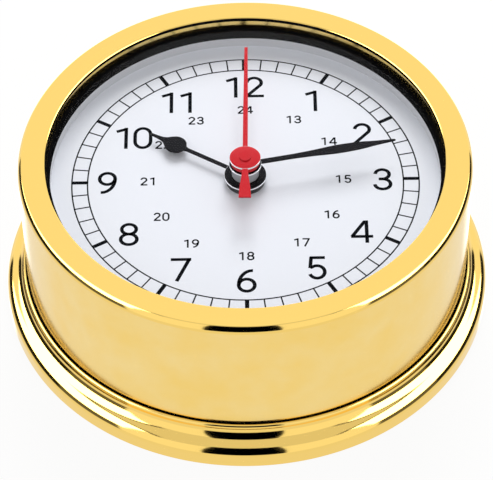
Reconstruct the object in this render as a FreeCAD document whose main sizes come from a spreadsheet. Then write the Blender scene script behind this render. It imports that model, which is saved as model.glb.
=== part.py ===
import FreeCAD, Part
import math
import os
import re
import Sketcher

# Heights are measured from the face that lies against the wall, and +Y points to twelve
# Lengths are in millimetres and angles in degrees
CASE_SIZES = [
    ("ledge_width", 1.0),
    ("base_wall_height", 3.0),
    ("moulding_radius", 3.04),
    ("moulding_turn", 72.0),
    ("ring_height", 9.9),
    ("drum_radius", 54.8),
    ("drum_wall", 1.5),
    ("drum_edge_radius", 2.0),
    ("case_height", 44.2),
    ("face_width", 4.4),
    ("bevel_width", 0.6),
    ("bevel_drop", 1.3),
    ("lip_wall_height", 1.9),
    ("seat_width", 0.5),
    ("lip_thickness", 0.4),
    ("gasket_height", 2.6),
    ("rehaut_height", 2.6),
    ("dial_thickness", 1.0),
    ("dial_bore", 3.8),
    ("support_wall", 1.5),
    ("glass_dome_radius", 150.0),
    ("glass_thickness", 1.4),
    ("seat_gap", 0.1),
    ("stack_gap", 0.3),
    ("solder_gap", 0.05),
    ("foot_width", 1.0),
    ("cover_thickness", 2.0),
    ("cover_gap", 0.15),
]

HANGER_SIZES = [
    ("hanger_entry_radius", 4.5),
    ("hanger_slot_width", 4.5),
    ("hanger_slot_length", 9.0),
    ("hanger_round", 0.001),
    ("hanger_entry_y", 24.0),
    ("hanger_room_depth", 4.5),
    ("hanger_room_gap", 0.5),
    ("hanger_wall", 1.6),
    ("screw_margin", 0.35),
    ("screw_radius", 0.8),
    ("screw_head_radius", 1.5),
    ("screw_head_height", 0.75),
    ("screw_sink", 0.1),
    ("screw_length", 4.2),
    ("screw_slot_width", 0.4),
    ("screw_slot_depth", 0.35),
    ("screw_gap", 0.1),
    ("screw_count", 4),
    ("screw_bearing", 45.0),
]

HAND_SIZES = [
    ("hour_top", 2.2),
    ("minute_top", 6.05),
    ("second_top", 8.2),
    ("hand_thickness", 0.45),
    ("hour_hub_radius", 5.13),
    ("minute_hub_radius", 3.9),
    ("second_disc_radius", 3.8),
    ("second_boss_radius", 1.4),
    ("second_boss_height", 0.4),
    ("hour_length", 27.6),
    ("minute_length", 37.4),
    ("second_length", 38.3),
    ("second_tail_length", 13.0),
    ("hour_arm_width", 1.0),
    ("hour_bulb_width", 5.2),
    ("minute_arm_width", 1.35),
    ("minute_lance_width", 2.6),
    ("second_arm_width", 0.9),
    ("second_tip_width", 0.5),
    ("second_tail_root", 1.4),
    ("second_tail_width", 3.0),
    ("bush_radius", 3.3),
    ("second_bush_radius", 3.45),
    ("bush_gap", 0.25),
    ("hour_collar_radius", 3.2),
    ("hour_collar_height", 0.3),
    ("hour_bearing", 302.0),
    ("minute_bearing", 78.4),
    ("second_bearing", 0.9),
]

MOVEMENT_SIZES = [
    ("spring_room", 2.5),
    ("movement_wall", 1.2),
    ("movement_corner", 2.5),
    ("movement_depth", 16.0),
    ("rear_shell_height", 7.15),
    ("shell_joint", 0.05),
    ("washer_thickness", 0.6),
    ("washer_radius", 8.0),
    ("boss_radius", 3.6),
    ("boss_rise", 1.1),
    ("nut_radius", 4.7),
    ("nut_height", 1.2),
    ("nut_notch_width", 1.2),
    ("nut_notch_depth", 0.6),
    ("thread_gap", 0.05),
    ("running_gap", 0.1),
    ("hour_tube_radius", 2.6),
    ("cannon_radius", 1.75),
    ("seconds_arbor_radius", 0.6),
    ("arbor_radius", 0.35),
    ("motion_arbor_radius", 0.5),
    ("pivot_gap", 0.15),
    ("bay_room", 0.8),
    ("bay_wall", 1.0),
    ("battery_radius", 7.1),
    ("battery_length", 49.5),
    ("battery_nub_radius", 2.7),
    ("battery_nub_height", 1.0),
    ("battery_gap", 0.2),
    ("contact_thickness", 0.3),
    ("contact_half_width", 4.5),
    ("contact_spring_radius", 3.2),
    ("contact_spring_taper", 12.0),
    ("plate_rise", 7.9),
    ("plate_thickness", 0.6),
    ("plate_side_gap", 1.3),
    ("plate_end_gap", 0.8),
    ("post_radius", 1.5),
    ("post_inset", 2.0),
    ("board_width", 10.0),
    ("board_length", 18.0),
    ("board_side_gap", 5.3),
    ("board_end_gap", 1.8),
    ("board_thickness", 0.8),
    ("chip_radius", 2.4),
    ("chip_height", 0.8),
    ("chip_inset", 4.0),
    ("crystal_radius", 1.0),
    ("crystal_length", 6.0),
    ("crystal_inset", 4.5),
]

TRAIN_SIZES = [
    ("train_distance", 9.0),
    ("third_bearing", 150.0),
    ("motion_bearing", -20.0),
    ("fifth_distance", 8.1),
    ("fifth_bearing", 75.0),
    ("rotor_distance", 7.7),
    ("rotor_bearing", 80.0),
    ("rotor_teeth", 10),
    ("fifth_wheel_teeth", 60),
    ("fifth_pinion_teeth", 10),
    ("seconds_wheel_teeth", 50),
    ("seconds_pinion_teeth", 8),
    ("third_wheel_teeth", 60),
    ("third_pinion_teeth", 8),
    ("centre_wheel_teeth", 64),
    ("cannon_teeth", 12),
    ("motion_wheel_teeth", 36),
    ("motion_pinion_teeth", 10),
    ("hour_wheel_teeth", 40),
    ("wheel_thickness", 0.6),
    ("pinion_height", 1.2),
    ("pinion_drop", 0.3),
    ("seconds_wheel_rise", 3.3),
    ("fifth_wheel_rise", 5.2),
    ("third_wheel_rise", 6.6),
    ("centre_wheel_rise", 9.3),
    ("motion_wheel_rise", 10.8),
    ("hour_wheel_rise", 12.0),
    ("magnet_radius", 2.6),
    ("magnet_height", 2.0),
    ("magnet_rise", 2.3),
    ("stator_hole_radius", 3.0),
    ("stator_rise", 2.9),
    ("stator_thickness", 0.8),
    ("stator_left_reach", 12.4),
    ("stator_right_reach", 11.6),
    ("stator_rim", 0.8),
    ("stator_bridge", 0.5),
    ("stator_window", 2.9),
    ("stator_leg_width", 3.4),
    ("core_width", 2.4),
    ("stator_post_radius", 1.2),
    ("stator_post_inset", 1.7),
    ("bobbin_radius", 1.9),
    ("bobbin_flange_radius", 3.0),
    ("bobbin_flange", 0.8),
    ("bobbin_end_gap", 0.6),
    ("winding_radius", 2.7),
    ("knob_radius", 6.0),
    ("knob_height", 2.7),
    ("knob_drop", 0.5),
    ("knob_grip_radius", 0.9),
    ("knob_grip_count", 12),
]

# Places that follow from the sizes
PLACES = [
    ("moulding_run", "moulding_radius * (1 - cos(moulding_turn * 1 deg))"),
    ("moulding_rise", "moulding_radius * sin(moulding_turn * 1 deg)"),
    ("base_radius", "drum_radius + ledge_width + 2 * moulding_run"),
    ("recess_radius", "base_radius - foot_width"),
    ("cover_radius", "recess_radius - cover_gap"),
    ("screw_circle", "cover_radius - screw_head_radius - screw_gap - screw_margin"),
    ("ring_bore", "drum_radius + solder_gap"),
    ("drum_bore", "drum_radius - drum_wall"),
    ("stack_radius", "drum_bore - stack_gap"),
    ("bevel_radius", "drum_radius - drum_edge_radius - face_width"),
    ("lip_radius", "bevel_radius - bevel_width"),
    ("opening_radius", "lip_radius - seat_width"),
    ("seat_height", "case_height - bevel_drop - lip_wall_height"),
    ("lip_underside", "seat_height - lip_thickness"),
    ("gasket_foot", "lip_underside - gasket_height"),
    ("dial_top", "gasket_foot - rehaut_height"),
    ("dial_back", "dial_top - dial_thickness"),
    ("glass_radius", "lip_radius - seat_gap"),
    ("glass_foot_radius", "opening_radius - seat_gap"),
    ("glass_inside", "seat_height + glass_dome_radius - sqrt(glass_dome_radius ^ 2 - glass_foot_radius ^ 2)"),
    ("glass_outer_radius", "glass_dome_radius + glass_thickness"),
    ("glass_peak", "glass_inside + glass_thickness"),
    ("glass_rim", "glass_peak - glass_outer_radius + sqrt(glass_outer_radius ^ 2 - glass_radius ^ 2)"),
    ("hanger_room_radius", "hanger_entry_radius + hanger_room_gap"),
    ("hanger_top_y", "hanger_entry_y + hanger_slot_length"),
    ("hanger_room_top", "cover_thickness + hanger_room_depth"),
    ("screw_hole_radius", "screw_radius + screw_gap"),
    ("screw_sink_radius", "screw_head_radius + screw_gap"),
    ("screw_sink_depth", "screw_sink + screw_head_height"),
    ("hour_level", "dial_top + hour_top"),
    ("minute_level", "dial_top + minute_top"),
    ("second_level", "dial_top + second_top"),
    ("shell_half", "(battery_length + battery_nub_height + 2 * contact_thickness + spring_room) / 2"),
    ("movement_half", "shell_half + movement_wall"),
    ("bay_wall_y", "2 * battery_radius + bay_room - shell_half"),
    ("battery_y", "battery_radius + bay_room / 2 - shell_half"),
    ("movement_front", "dial_back - washer_thickness"),
    ("movement_rear", "movement_front - movement_depth"),
    ("shell_split", "movement_rear + rear_shell_height"),
    ("movement_floor", "movement_rear + movement_wall"),
    ("movement_roof", "movement_front - movement_wall"),
    ("boss_top", "dial_top + boss_rise"),
    ("boss_bore", "hour_tube_radius + running_gap"),
    ("hour_bore", "cannon_radius + running_gap"),
    ("cannon_bore", "seconds_arbor_radius + running_gap"),
    ("bay_inner_y", "bay_wall_y + bay_wall"),
    ("battery_z", "movement_roof - battery_radius - battery_gap"),
    ("battery_end_x", "shell_half - contact_thickness - battery_nub_height"),
    ("plate_foot", "movement_floor + plate_rise"),
    ("plate_half_width", "shell_half - plate_side_gap"),
    ("plate_low_y", "bay_inner_y + plate_end_gap"),
    ("plate_high_y", "shell_half - plate_end_gap"),
    ("post_x", "plate_half_width - post_inset"),
    ("post_low_y", "plate_low_y + post_inset"),
    ("post_high_y", "plate_high_y - post_inset"),
    ("board_left_x", "board_side_gap - shell_half"),
    ("board_right_x", "board_left_x + board_width"),
    ("board_high_y", "shell_half - board_end_gap"),
    ("board_low_y", "board_high_y - board_length"),
    ("chip_low_y", "board_low_y + chip_inset"),
    ("crystal_y", "board_high_y - crystal_inset"),
    ("arbor_foot", "movement_floor + pivot_gap"),
    ("plate_pivot_top", "plate_foot + pivot_gap + arbor_radius"),
    ("roof_pivot_top", "movement_roof - pivot_gap"),
    ("third_x", "train_distance * cos(third_bearing * 1 deg)"),
    ("third_y", "train_distance * sin(third_bearing * 1 deg)"),
    ("motion_x", "train_distance * cos(motion_bearing * 1 deg)"),
    ("motion_y", "train_distance * sin(motion_bearing * 1 deg)"),
    ("fifth_x", "fifth_distance * cos(fifth_bearing * 1 deg)"),
    ("fifth_y", "fifth_distance * sin(fifth_bearing * 1 deg)"),
    ("rotor_x", "fifth_x + rotor_distance * cos(rotor_bearing * 1 deg)"),
    ("rotor_y", "fifth_y + rotor_distance * sin(rotor_bearing * 1 deg)"),
    ("seconds_wheel_foot", "movement_floor + seconds_wheel_rise"),
    ("fifth_wheel_foot", "movement_floor + fifth_wheel_rise"),
    ("third_wheel_foot", "movement_floor + third_wheel_rise"),
    ("centre_wheel_foot", "movement_floor + centre_wheel_rise"),
    ("motion_wheel_foot", "movement_floor + motion_wheel_rise"),
    ("hour_wheel_foot", "movement_floor + hour_wheel_rise"),
    ("magnet_foot", "movement_floor + magnet_rise"),
    ("stator_foot", "movement_floor + stator_rise"),
    ("stator_left_x", "rotor_x - stator_left_reach"),
    ("stator_right_x", "rotor_x + stator_right_reach"),
    ("stator_low_y", "rotor_y - stator_hole_radius - stator_rim"),
    ("stator_window_low_y", "rotor_y + stator_hole_radius + stator_bridge"),
    ("core_low_y", "stator_window_low_y + stator_window"),
    ("core_y", "core_low_y + core_width / 2"),
    ("core_z", "stator_foot + stator_thickness / 2"),
    ("core_high_y", "core_low_y + core_width"),
    ("window_left_x", "stator_left_x + stator_leg_width"),
    ("window_right_x", "stator_right_x - stator_leg_width"),
    ("bobbin_left_x", "window_left_x + bobbin_end_gap"),
    ("bobbin_right_x", "window_right_x - bobbin_end_gap"),
    ("knob_top", "movement_rear - knob_drop"),
]

# Hand outlines: shares of the hand's length and of its widest width, from root to tip
HOUR_SHARES = [
    (0.620, 0.19),
    (0.648, 0.36),
    (0.673, 0.72),
    (0.705, 0.95),
    (0.735, 1.0),
    (0.768, 0.93),
    (0.800, 0.70),
    (0.832, 0.40),
    (0.865, 0.22),
    (0.915, 0.15),
    (0.985, 0.10),
]
MINUTE_SHARES = [
    (0.320, 0.54),
    (0.430, 0.65),
    (0.520, 0.84),
    (0.600, 0.98),
    (0.650, 1.0),
    (0.740, 0.90),
    (0.840, 0.60),
    (0.930, 0.32),
    (0.990, 0.18),
]

# Shares of one tooth's pitch that its tip and its root take, and of the module
TIP_SHARE = 0.16
ROOT_SHARE = 0.46
TOOTH_RISE_SHARE = 0.7
TOOTH_DROP_SHARE = 1.1

doc = FreeCAD.newDocument("wall_clock")
SHEETS = {}


def fill_sheet(name, rows):
    """Make a sheet from pairs of a word and a number or formula."""
    sheet = doc.addObject("Spreadsheet::Sheet", name)
    for number, (word, entry) in enumerate(rows, 1):
        sheet.set("A%d" % number, word)
        sheet.set("B%d" % number, entry if str(entry).startswith("=") else str(entry))
        sheet.setAlias("B%d" % number, word)
        SHEETS[word] = name
    doc.recompute()
    return sheet


def bound(text):
    """The expression with each named size led by its sheet."""
    return re.sub(r"[a-z_]+", lambda found: named(found.group()), str(text))


def named(word):
    return SHEETS[word] + "." + word if word in SHEETS else word


def value(text):
    """The number that an expression of named sizes gives."""
    found = places.evalExpression(bound(text))
    return getattr(found, "Value", found)


fill_sheet("Sizes", CASE_SIZES + HANGER_SIZES + HAND_SIZES + MOVEMENT_SIZES + TRAIN_SIZES)
SHEETS.update((word, "Places") for word, formula in PLACES)
places = fill_sheet("Places", [(word, "=" + bound(formula)) for word, formula in PLACES])
PIECES = []


def new_body(label):
    body = doc.addObject("PartDesign::Body", label)
    body.Label = label
    PIECES.append(body)
    return body


def new_sketch(body, name, role="XY_Plane", offset="0"):
    """A sketch on one of the body's own origin planes, moved along its normal."""
    sketch = body.newObject("Sketcher::SketchObject", body.Name + "_" + name)
    plane = next(f for f in body.Origin.OriginFeatures if f.Role == role)
    sketch.AttachmentSupport = [(plane, "")]
    sketch.MapMode = "FlatFace"
    sketch.setExpression(".AttachmentOffset.Base.z", bound(offset))
    doc.recompute()
    return sketch


def fix_point(sketch, geometry, end, across, up):
    """Bind a point's two distances from the sketch's origin."""
    for kind, text in (("DistanceX", across), ("DistanceY", up)):
        rule = Sketcher.Constraint(kind, -1, 1, geometry, end, value(text))
        index = sketch.addConstraint(rule)
        sketch.setExpression("Constraints[%d]" % index, bound(text))


def arc_between(start, end, radius):
    """An arc from start to end, to the left of the way with a positive radius."""
    middle = (start + end) / 2
    along = end - start
    side = FreeCAD.Vector(-along.y, along.x, 0).normalize()
    reach = math.sqrt(radius ** 2 - (along.Length / 2) ** 2)
    centre = middle + side * math.copysign(reach, radius)
    first, last = (start, end) if radius > 0 else (end, start)
    turns = [math.atan2(p.y - centre.y, p.x - centre.x) for p in (first, last)]
    circle = Part.Circle(centre, FreeCAD.Vector(0, 0, 1), abs(radius))
    return Part.ArcOfCircle(circle, turns[0], turns[1])


def draw_loop(sketch, corners):
    """A closed outline of (across, up) corners; a third entry is an arc's radius on to the next."""
    base = sketch.GeometryCount
    points = [FreeCAD.Vector(value(c[0]), value(c[1]), 0) for c in corners]
    ends = []
    for number, corner in enumerate(corners):
        start = points[number]
        end = points[(number + 1) % len(points)]
        if len(corner) > 2:
            radius = value(corner[2])
            sketch.addGeometry(arc_between(start, end, radius), False)
            ends.append((1, 2) if radius > 0 else (2, 1))
        else:
            sketch.addGeometry(Part.LineSegment(start, end), False)
            ends.append((1, 2))
    for number, corner in enumerate(corners):
        following = (number + 1) % len(corners)
        joint = (base + number, ends[number][1], base + following, ends[following][0])
        sketch.addConstraint(Sketcher.Constraint("Coincident", *joint))
    for number, corner in enumerate(corners):
        fix_point(sketch, base + number, ends[number][0], corner[0], corner[1])
        if len(corner) > 2:
            rule = Sketcher.Constraint("Radius", base + number, abs(value(corner[2])))
            index = sketch.addConstraint(rule)
            sketch.setExpression("Constraints[%d]" % index, bound("abs(" + corner[2] + ")"))


def draw_circle(sketch, radius, across="0", up="0"):
    centre = FreeCAD.Vector(value(across), value(up), 0)
    index = sketch.addGeometry(Part.Circle(centre, FreeCAD.Vector(0, 0, 1), value(radius)), False)
    rule = sketch.addConstraint(Sketcher.Constraint("Radius", index, value(radius)))
    sketch.setExpression("Constraints[%d]" % rule, bound(radius))
    fix_point(sketch, index, 3, across, up)


def draw_box(sketch, left, right, low, high):
    draw_loop(sketch, [(left, low), (right, low), (right, high), (left, high)])


def turn(body, corners):
    """A solid of revolution about Z from an outline of (radius, height) corners."""
    sketch = new_sketch(body, "outline", "XZ_Plane")
    draw_loop(sketch, corners)
    turned = body.newObject("PartDesign::Revolution", body.Name + "_turned")
    turned.Profile = sketch
    turned.ReferenceAxis = (sketch, ["V_Axis"])
    turned.Angle = FULL_TURN
    sketch.Visibility = False
    doc.recompute()
    return turned


def pad(body, sketch, length):
    padded = body.newObject("PartDesign::Pad", sketch.Name + "_pad")
    padded.Profile = sketch
    padded.setExpression("Length", bound(length))
    doc.recompute()
    return padded


def cut(body, sketch, depth):
    """Cut from the sketch's plane against its normal, and see that it takes something away."""
    before = body.Shape.Volume
    pocket = body.newObject("PartDesign::Pocket", sketch.Name + "_cut")
    pocket.Profile = sketch
    pocket.setExpression("Length", bound(depth))
    doc.recompute()
    if body.Shape.Volume >= before:
        raise RuntimeError(pocket.Name + " cuts nothing")
    return pocket


def repeat(body, features, count):
    """Repeat features around Z."""
    pattern = body.newObject("PartDesign::PolarPattern", features[0].Name + "_pattern")
    pattern.Originals = features
    axis = next(f for f in body.Origin.OriginFeatures if f.Role == "Z_Axis")
    pattern.Axis = (axis, [""])
    pattern.Angle = FULL_TURN
    pattern.setExpression("Occurrences", bound(count))
    body.Tip = pattern
    doc.recompute()
    return pattern


def disc_at(body, name, radius, foot, height, across="0", up="0"):
    sketch = new_sketch(body, name, "XY_Plane", foot)
    draw_circle(sketch, radius, across, up)
    return pad(body, sketch, height)


def hole_at(body, name, radius, top, depth, across="0", up="0"):
    sketch = new_sketch(body, name, "XY_Plane", top)
    draw_circle(sketch, radius, across, up)
    return cut(body, sketch, depth)


def collar(label, bore, radius, foot, top):
    """A plain ring about Z."""
    turn(new_body(label), [(bore, foot), (radius, foot), (radius, top), (bore, top)])


FULL_TURN = 360.0

# Case: the base ring, the drum with its lip, and the glass
turn(new_body("base_ring"), [
    ("ring_bore", "cover_thickness"),
    ("recess_radius", "cover_thickness"),
    ("recess_radius", "0"),
    ("base_radius", "0"),
    ("base_radius", "base_wall_height", "moulding_radius"),
    ("base_radius - moulding_run", "base_wall_height + moulding_rise", "-moulding_radius"),
    ("base_radius - 2 * moulding_run", "base_wall_height + 2 * moulding_rise"),
    ("base_radius - 2 * moulding_run", "ring_height"),
    ("ring_bore", "ring_height"),
])
screw_hole = hole_at(
    PIECES[-1], "screw_hole", "screw_hole_radius", "screw_sink + screw_length + screw_gap",
    "screw_sink + screw_length + screw_gap",
    "screw_circle * cos(screw_bearing * 1 deg)", "screw_circle * sin(screw_bearing * 1 deg)")
repeat(PIECES[-1], [screw_hole], "screw_count")

turn(new_body("case_drum"), [
    ("drum_bore", "cover_thickness"),
    ("drum_radius", "cover_thickness"),
    ("drum_radius", "case_height - drum_edge_radius", "drum_edge_radius"),
    ("drum_radius - drum_edge_radius", "case_height"),
    ("bevel_radius", "case_height"),
    ("lip_radius", "case_height - bevel_drop"),
    ("lip_radius", "seat_height"),
    ("opening_radius", "seat_height"),
    ("opening_radius", "lip_underside"),
    ("drum_bore", "lip_underside"),
])

turn(new_body("glass"), [
    ("0", "glass_inside", "-glass_dome_radius"),
    ("glass_foot_radius", "seat_height"),
    ("glass_radius", "seat_height"),
    ("glass_radius", "glass_rim", "glass_outer_radius"),
    ("0", "glass_peak"),
])

# The stack of rings and the dial that the lip holds down on the support
collar("gasket_ring", "opening_radius", "stack_radius", "gasket_foot", "lip_underside")
collar("rehaut_ring", "opening_radius", "stack_radius", "dial_top", "gasket_foot")
collar("dial_plate", "dial_bore", "stack_radius", "dial_back", "dial_top")
collar("dial_support", "stack_radius - support_wall", "stack_radius", "cover_thickness", "dial_back")

# Rear cover with its keyhole for a wall screw, and the cover's own screws
cover = new_body("rear_cover")
disc_at(cover, "disc", "cover_radius", "0", "cover_thickness")
hanger_block = new_sketch(cover, "hanger_block", "XY_Plane", "cover_thickness")
draw_box(hanger_block, "-hanger_room_radius - hanger_wall", "hanger_room_radius + hanger_wall",
         "hanger_entry_y - hanger_room_radius - hanger_wall",
         "hanger_top_y + hanger_room_radius + hanger_wall")
pad(cover, hanger_block, "hanger_room_depth + hanger_wall")
hanger_room = new_sketch(cover, "hanger_room", "XY_Plane", "hanger_room_top")
draw_box(hanger_room, "-hanger_room_radius", "hanger_room_radius",
         "hanger_entry_y - hanger_room_radius", "hanger_top_y + hanger_room_radius")
cut(cover, hanger_room, "hanger_room_depth")
hole_at(cover, "hanger_entry", "hanger_entry_radius", "cover_thickness", "cover_thickness",
        "0", "hanger_entry_y")
hanger_slot = new_sketch(cover, "hanger_slot", "XY_Plane", "cover_thickness")
draw_loop(hanger_slot, [
    ("-hanger_slot_width / 2", "hanger_entry_y"),
    ("hanger_slot_width / 2", "hanger_entry_y"),
    ("hanger_slot_width / 2", "hanger_top_y", "hanger_slot_width / 2 + hanger_round"),
    ("-hanger_slot_width / 2", "hanger_top_y"),
])
cut(cover, hanger_slot, "cover_thickness")
screw_place = ("screw_circle * cos(screw_bearing * 1 deg)", "screw_circle * sin(screw_bearing * 1 deg)")
screw_sinks = [
    hole_at(cover, "screw_hole", "screw_hole_radius", "cover_thickness", "cover_thickness",
            *screw_place),
    hole_at(cover, "screw_sink", "screw_sink_radius", "screw_sink_depth", "screw_sink_depth",
            *screw_place),
]
repeat(cover, screw_sinks, "screw_count")

screws = new_body("cover_screws")
screws.AllowCompound = True
head = disc_at(screws, "head", "screw_head_radius", "screw_sink", "screw_head_height", *screw_place)
shank = disc_at(screws, "shank", "screw_radius", "screw_sink + screw_head_height",
                "screw_length - screw_head_height", *screw_place)
slot = new_sketch(screws, "slot", "XY_Plane", "screw_sink + screw_slot_depth")
draw_box(slot, screw_place[0] + " - screw_head_radius", screw_place[0] + " + screw_head_radius",
         screw_place[1] + " - screw_slot_width / 2", screw_place[1] + " + screw_slot_width / 2")
slot_cut = cut(screws, slot, "screw_slot_depth")
repeat(screws, [head, shank, slot_cut], "screw_count")

# Movement shells
front = new_body("front_housing")


def shell_box(body, name, half, foot, height, corner):
    """A square block about Z with rounded corners."""
    sketch = new_sketch(body, name, "XY_Plane", foot)
    inner = half + " - " + corner
    draw_loop(sketch, [
        ("-(" + inner + ")", "-" + half),
        (inner, "-" + half, corner),
        (half, "-(" + inner + ")"),
        (half, inner, corner),
        (inner, half),
        ("-(" + inner + ")", half, corner),
        ("-" + half, inner),
        ("-" + half, "-(" + inner + ")", corner),
    ])
    return pad(body, sketch, height)


def inner_box(body, name, low, high, top, depth):
    sketch = new_sketch(body, name, "XY_Plane", top)
    draw_box(sketch, "-shell_half", "shell_half", low, high)
    return cut(body, sketch, depth)


shell_box(front, "shell", "movement_half", "shell_split", "movement_front - shell_split", "movement_corner")
inner_box(front, "room", "-shell_half", "shell_half", "movement_roof", "movement_roof - shell_split")
disc_at(front, "boss", "boss_radius", "movement_front", "boss_top - movement_front")
hole_at(front, "boss_bore", "boss_bore", "boss_top", "boss_top - movement_roof")

rear = new_body("rear_housing")
shell_box(rear, "shell", "movement_half", "movement_rear", "rear_shell_height - shell_joint", "movement_corner")
inner_box(rear, "train_room", "bay_inner_y", "shell_half", "shell_split", "shell_split - movement_floor")
inner_box(rear, "battery_bay", "-shell_half", "bay_wall_y", "shell_split", "shell_split - movement_rear")
for post, (across, up) in enumerate([("-post_x", "post_low_y"), ("post_x", "post_low_y"),
                                     ("-post_x", "post_high_y"), ("post_x", "post_high_y")]):
    disc_at(rear, "post%d" % post, "post_radius", "movement_floor", "plate_rise", across, up)
for post, (across, up) in enumerate([
        ("stator_left_x + stator_post_inset", "stator_low_y + stator_post_inset"),
        ("stator_right_x - stator_post_inset", "stator_low_y + stator_post_inset"),
        ("stator_left_x + stator_post_inset", "core_y"),
        ("stator_right_x - stator_post_inset", "core_y")]):
    disc_at(rear, "rest%d" % post, "stator_post_radius", "movement_floor", "stator_rise", across, up)
hole_at(rear, "knob_hole", "motion_arbor_radius + running_gap", "movement_floor", "movement_wall",
        "motion_x", "motion_y")

collar("rubber_washer", "dial_bore", "washer_radius", "movement_front", "dial_back")
nut = new_body("dial_nut")
turn(nut, [("boss_radius + thread_gap", "dial_top"), ("nut_radius", "dial_top"),
           ("nut_radius", "dial_top + nut_height"), ("boss_radius + thread_gap", "dial_top + nut_height")])
notch = new_sketch(nut, "notch", "XY_Plane", "dial_top + nut_height")
draw_box(notch, "nut_radius - nut_notch_depth", "nut_radius + nut_notch_depth",
         "-nut_notch_width / 2", "nut_notch_width / 2")
repeat(nut, [cut(nut, notch, "nut_height")], "screw_count")

# Battery, contacts and electronics
battery = new_body("battery")
barrel = new_sketch(battery, "barrel", "YZ_Plane", "battery_end_x - battery_length")
draw_circle(barrel, "battery_radius", "battery_y", "battery_z")
pad(battery, barrel, "battery_length")
nub = new_sketch(battery, "nub", "YZ_Plane", "battery_end_x")
draw_circle(nub, "battery_nub_radius", "battery_y", "battery_z")
pad(battery, nub, "battery_nub_height")


def contact(label, foot):
    body = new_body(label)
    leaf = new_sketch(body, "leaf", "YZ_Plane", foot)
    draw_box(leaf, "battery_y - contact_half_width", "battery_y + contact_half_width",
             "battery_z - contact_half_width", "battery_z + contact_half_width")
    pad(body, leaf, "contact_thickness")
    return body


contact("contact_plus", "shell_half - contact_thickness")
minus = contact("contact_minus", "-shell_half")
coil_foot = new_sketch(minus, "coil", "YZ_Plane", "contact_thickness - shell_half")
draw_circle(coil_foot, "contact_spring_radius", "battery_y", "battery_z")
spring = pad(minus, coil_foot, "battery_end_x - battery_length + shell_half - contact_thickness")
spring.setExpression("TaperAngle", bound("-contact_spring_taper"))

board = new_body("circuit_board")
board_sketch = new_sketch(board, "board", "XY_Plane", "movement_floor")
draw_box(board_sketch, "board_left_x", "board_right_x", "board_low_y", "board_high_y")
pad(board, board_sketch, "board_thickness")
disc_at(new_body("chip_cap"), "cap", "chip_radius", "movement_floor + board_thickness", "chip_height",
        "(board_left_x + board_right_x) / 2", "chip_low_y")
crystal = new_body("crystal_can")
crystal_sketch = new_sketch(crystal, "can", "YZ_Plane",
                            "(board_left_x + board_right_x - crystal_length) / 2")
draw_circle(crystal_sketch, "crystal_radius", "crystal_y",
            "movement_floor + board_thickness + crystal_radius")
pad(crystal, crystal_sketch, "crystal_length")

# Motor: stator with its core, bobbin and winding
stator = new_body("stator")
stator_sketch = new_sketch(stator, "plate", "XY_Plane", "stator_foot")
draw_box(stator_sketch, "stator_left_x", "stator_right_x", "stator_low_y", "core_high_y")
pad(stator, stator_sketch, "stator_thickness")
window = new_sketch(stator, "window", "XY_Plane", "stator_foot + stator_thickness")
draw_box(window, "window_left_x", "window_right_x", "stator_window_low_y", "core_low_y")
cut(stator, window, "stator_thickness")
hole_at(stator, "rotor_hole", "stator_hole_radius", "stator_foot + stator_thickness",
        "stator_thickness", "rotor_x", "rotor_y")

bobbin = new_body("coil_bobbin")
for name, radius, foot, length in (
        ("tube", "bobbin_radius", "bobbin_left_x", "bobbin_right_x - bobbin_left_x"),
        ("left_flange", "bobbin_flange_radius", "bobbin_left_x", "bobbin_flange"),
        ("right_flange", "bobbin_flange_radius", "bobbin_right_x - bobbin_flange", "bobbin_flange")):
    flange = new_sketch(bobbin, name, "YZ_Plane", foot)
    draw_circle(flange, radius, "core_y", "core_z")
    pad(bobbin, flange, length)
core_slot = new_sketch(bobbin, "core_slot", "YZ_Plane", "bobbin_right_x")
draw_box(core_slot, "core_low_y - running_gap", "core_high_y + running_gap",
         "stator_foot - running_gap", "stator_foot + stator_thickness + running_gap")
cut(bobbin, core_slot, "bobbin_right_x - bobbin_left_x")

winding = new_body("coil_winding")
winding_sketch = new_sketch(winding, "winding", "YZ_Plane", "bobbin_left_x + bobbin_flange")
draw_circle(winding_sketch, "winding_radius", "core_y", "core_z")
draw_circle(winding_sketch, "bobbin_radius", "core_y", "core_z")
pad(winding, winding_sketch, "bobbin_right_x - bobbin_left_x - 2 * bobbin_flange")

# The plate that the upper pivots of the quick wheels turn in
plate = new_body("train_plate")
plate_sketch = new_sketch(plate, "plate", "XY_Plane", "plate_foot")
draw_box(plate_sketch, "-plate_half_width", "plate_half_width", "plate_low_y", "plate_high_y")
pad(plate, plate_sketch, "plate_thickness")
for name, radius, across, up in (
        ("seconds", "seconds_arbor_radius", "0", "0"),
        ("third", "arbor_radius", "third_x", "third_y"),
        ("fifth", "arbor_radius", "fifth_x", "fifth_y"),
        ("rotor", "arbor_radius", "rotor_x", "rotor_y"),
        ("motion", "motion_arbor_radius", "motion_x", "motion_y")):
    hole_at(plate, name + "_pivot", radius + " + running_gap", "plate_foot + plate_thickness",
            "plate_thickness", across, up)


# Toothed pieces
def tooth_ring(teeth, module, phase):
    """A gear's closed outline with straight-flanked teeth, the first one centred at phase."""
    pitch = math.tau / teeth
    tip = module * (teeth / 2 + TOOTH_RISE_SHARE)
    root = module * (teeth / 2 - TOOTH_DROP_SHARE)
    corners = []
    for tooth in range(teeth):
        for share, radius in ((-ROOT_SHARE, root), (-TIP_SHARE, tip), (TIP_SHARE, tip), (ROOT_SHARE, root)):
            angle = phase + (tooth + share / 2) * pitch
            corners.append(FreeCAD.Vector(radius * math.cos(angle), radius * math.sin(angle), 0))
    return Part.makePolygon(corners + corners[:1])


def gear(teeth, module, foot, height, phase=0.0):
    face = Part.Face(tooth_ring(teeth, module, phase))
    face.translate(FreeCAD.Vector(0, 0, value(foot)))
    return face.extrude(FreeCAD.Vector(0, 0, value(height)))


def rod(radius, foot, top):
    return Part.makeCylinder(value(radius), value(top) - value(foot), FreeCAD.Vector(0, 0, value(foot)))


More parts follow.
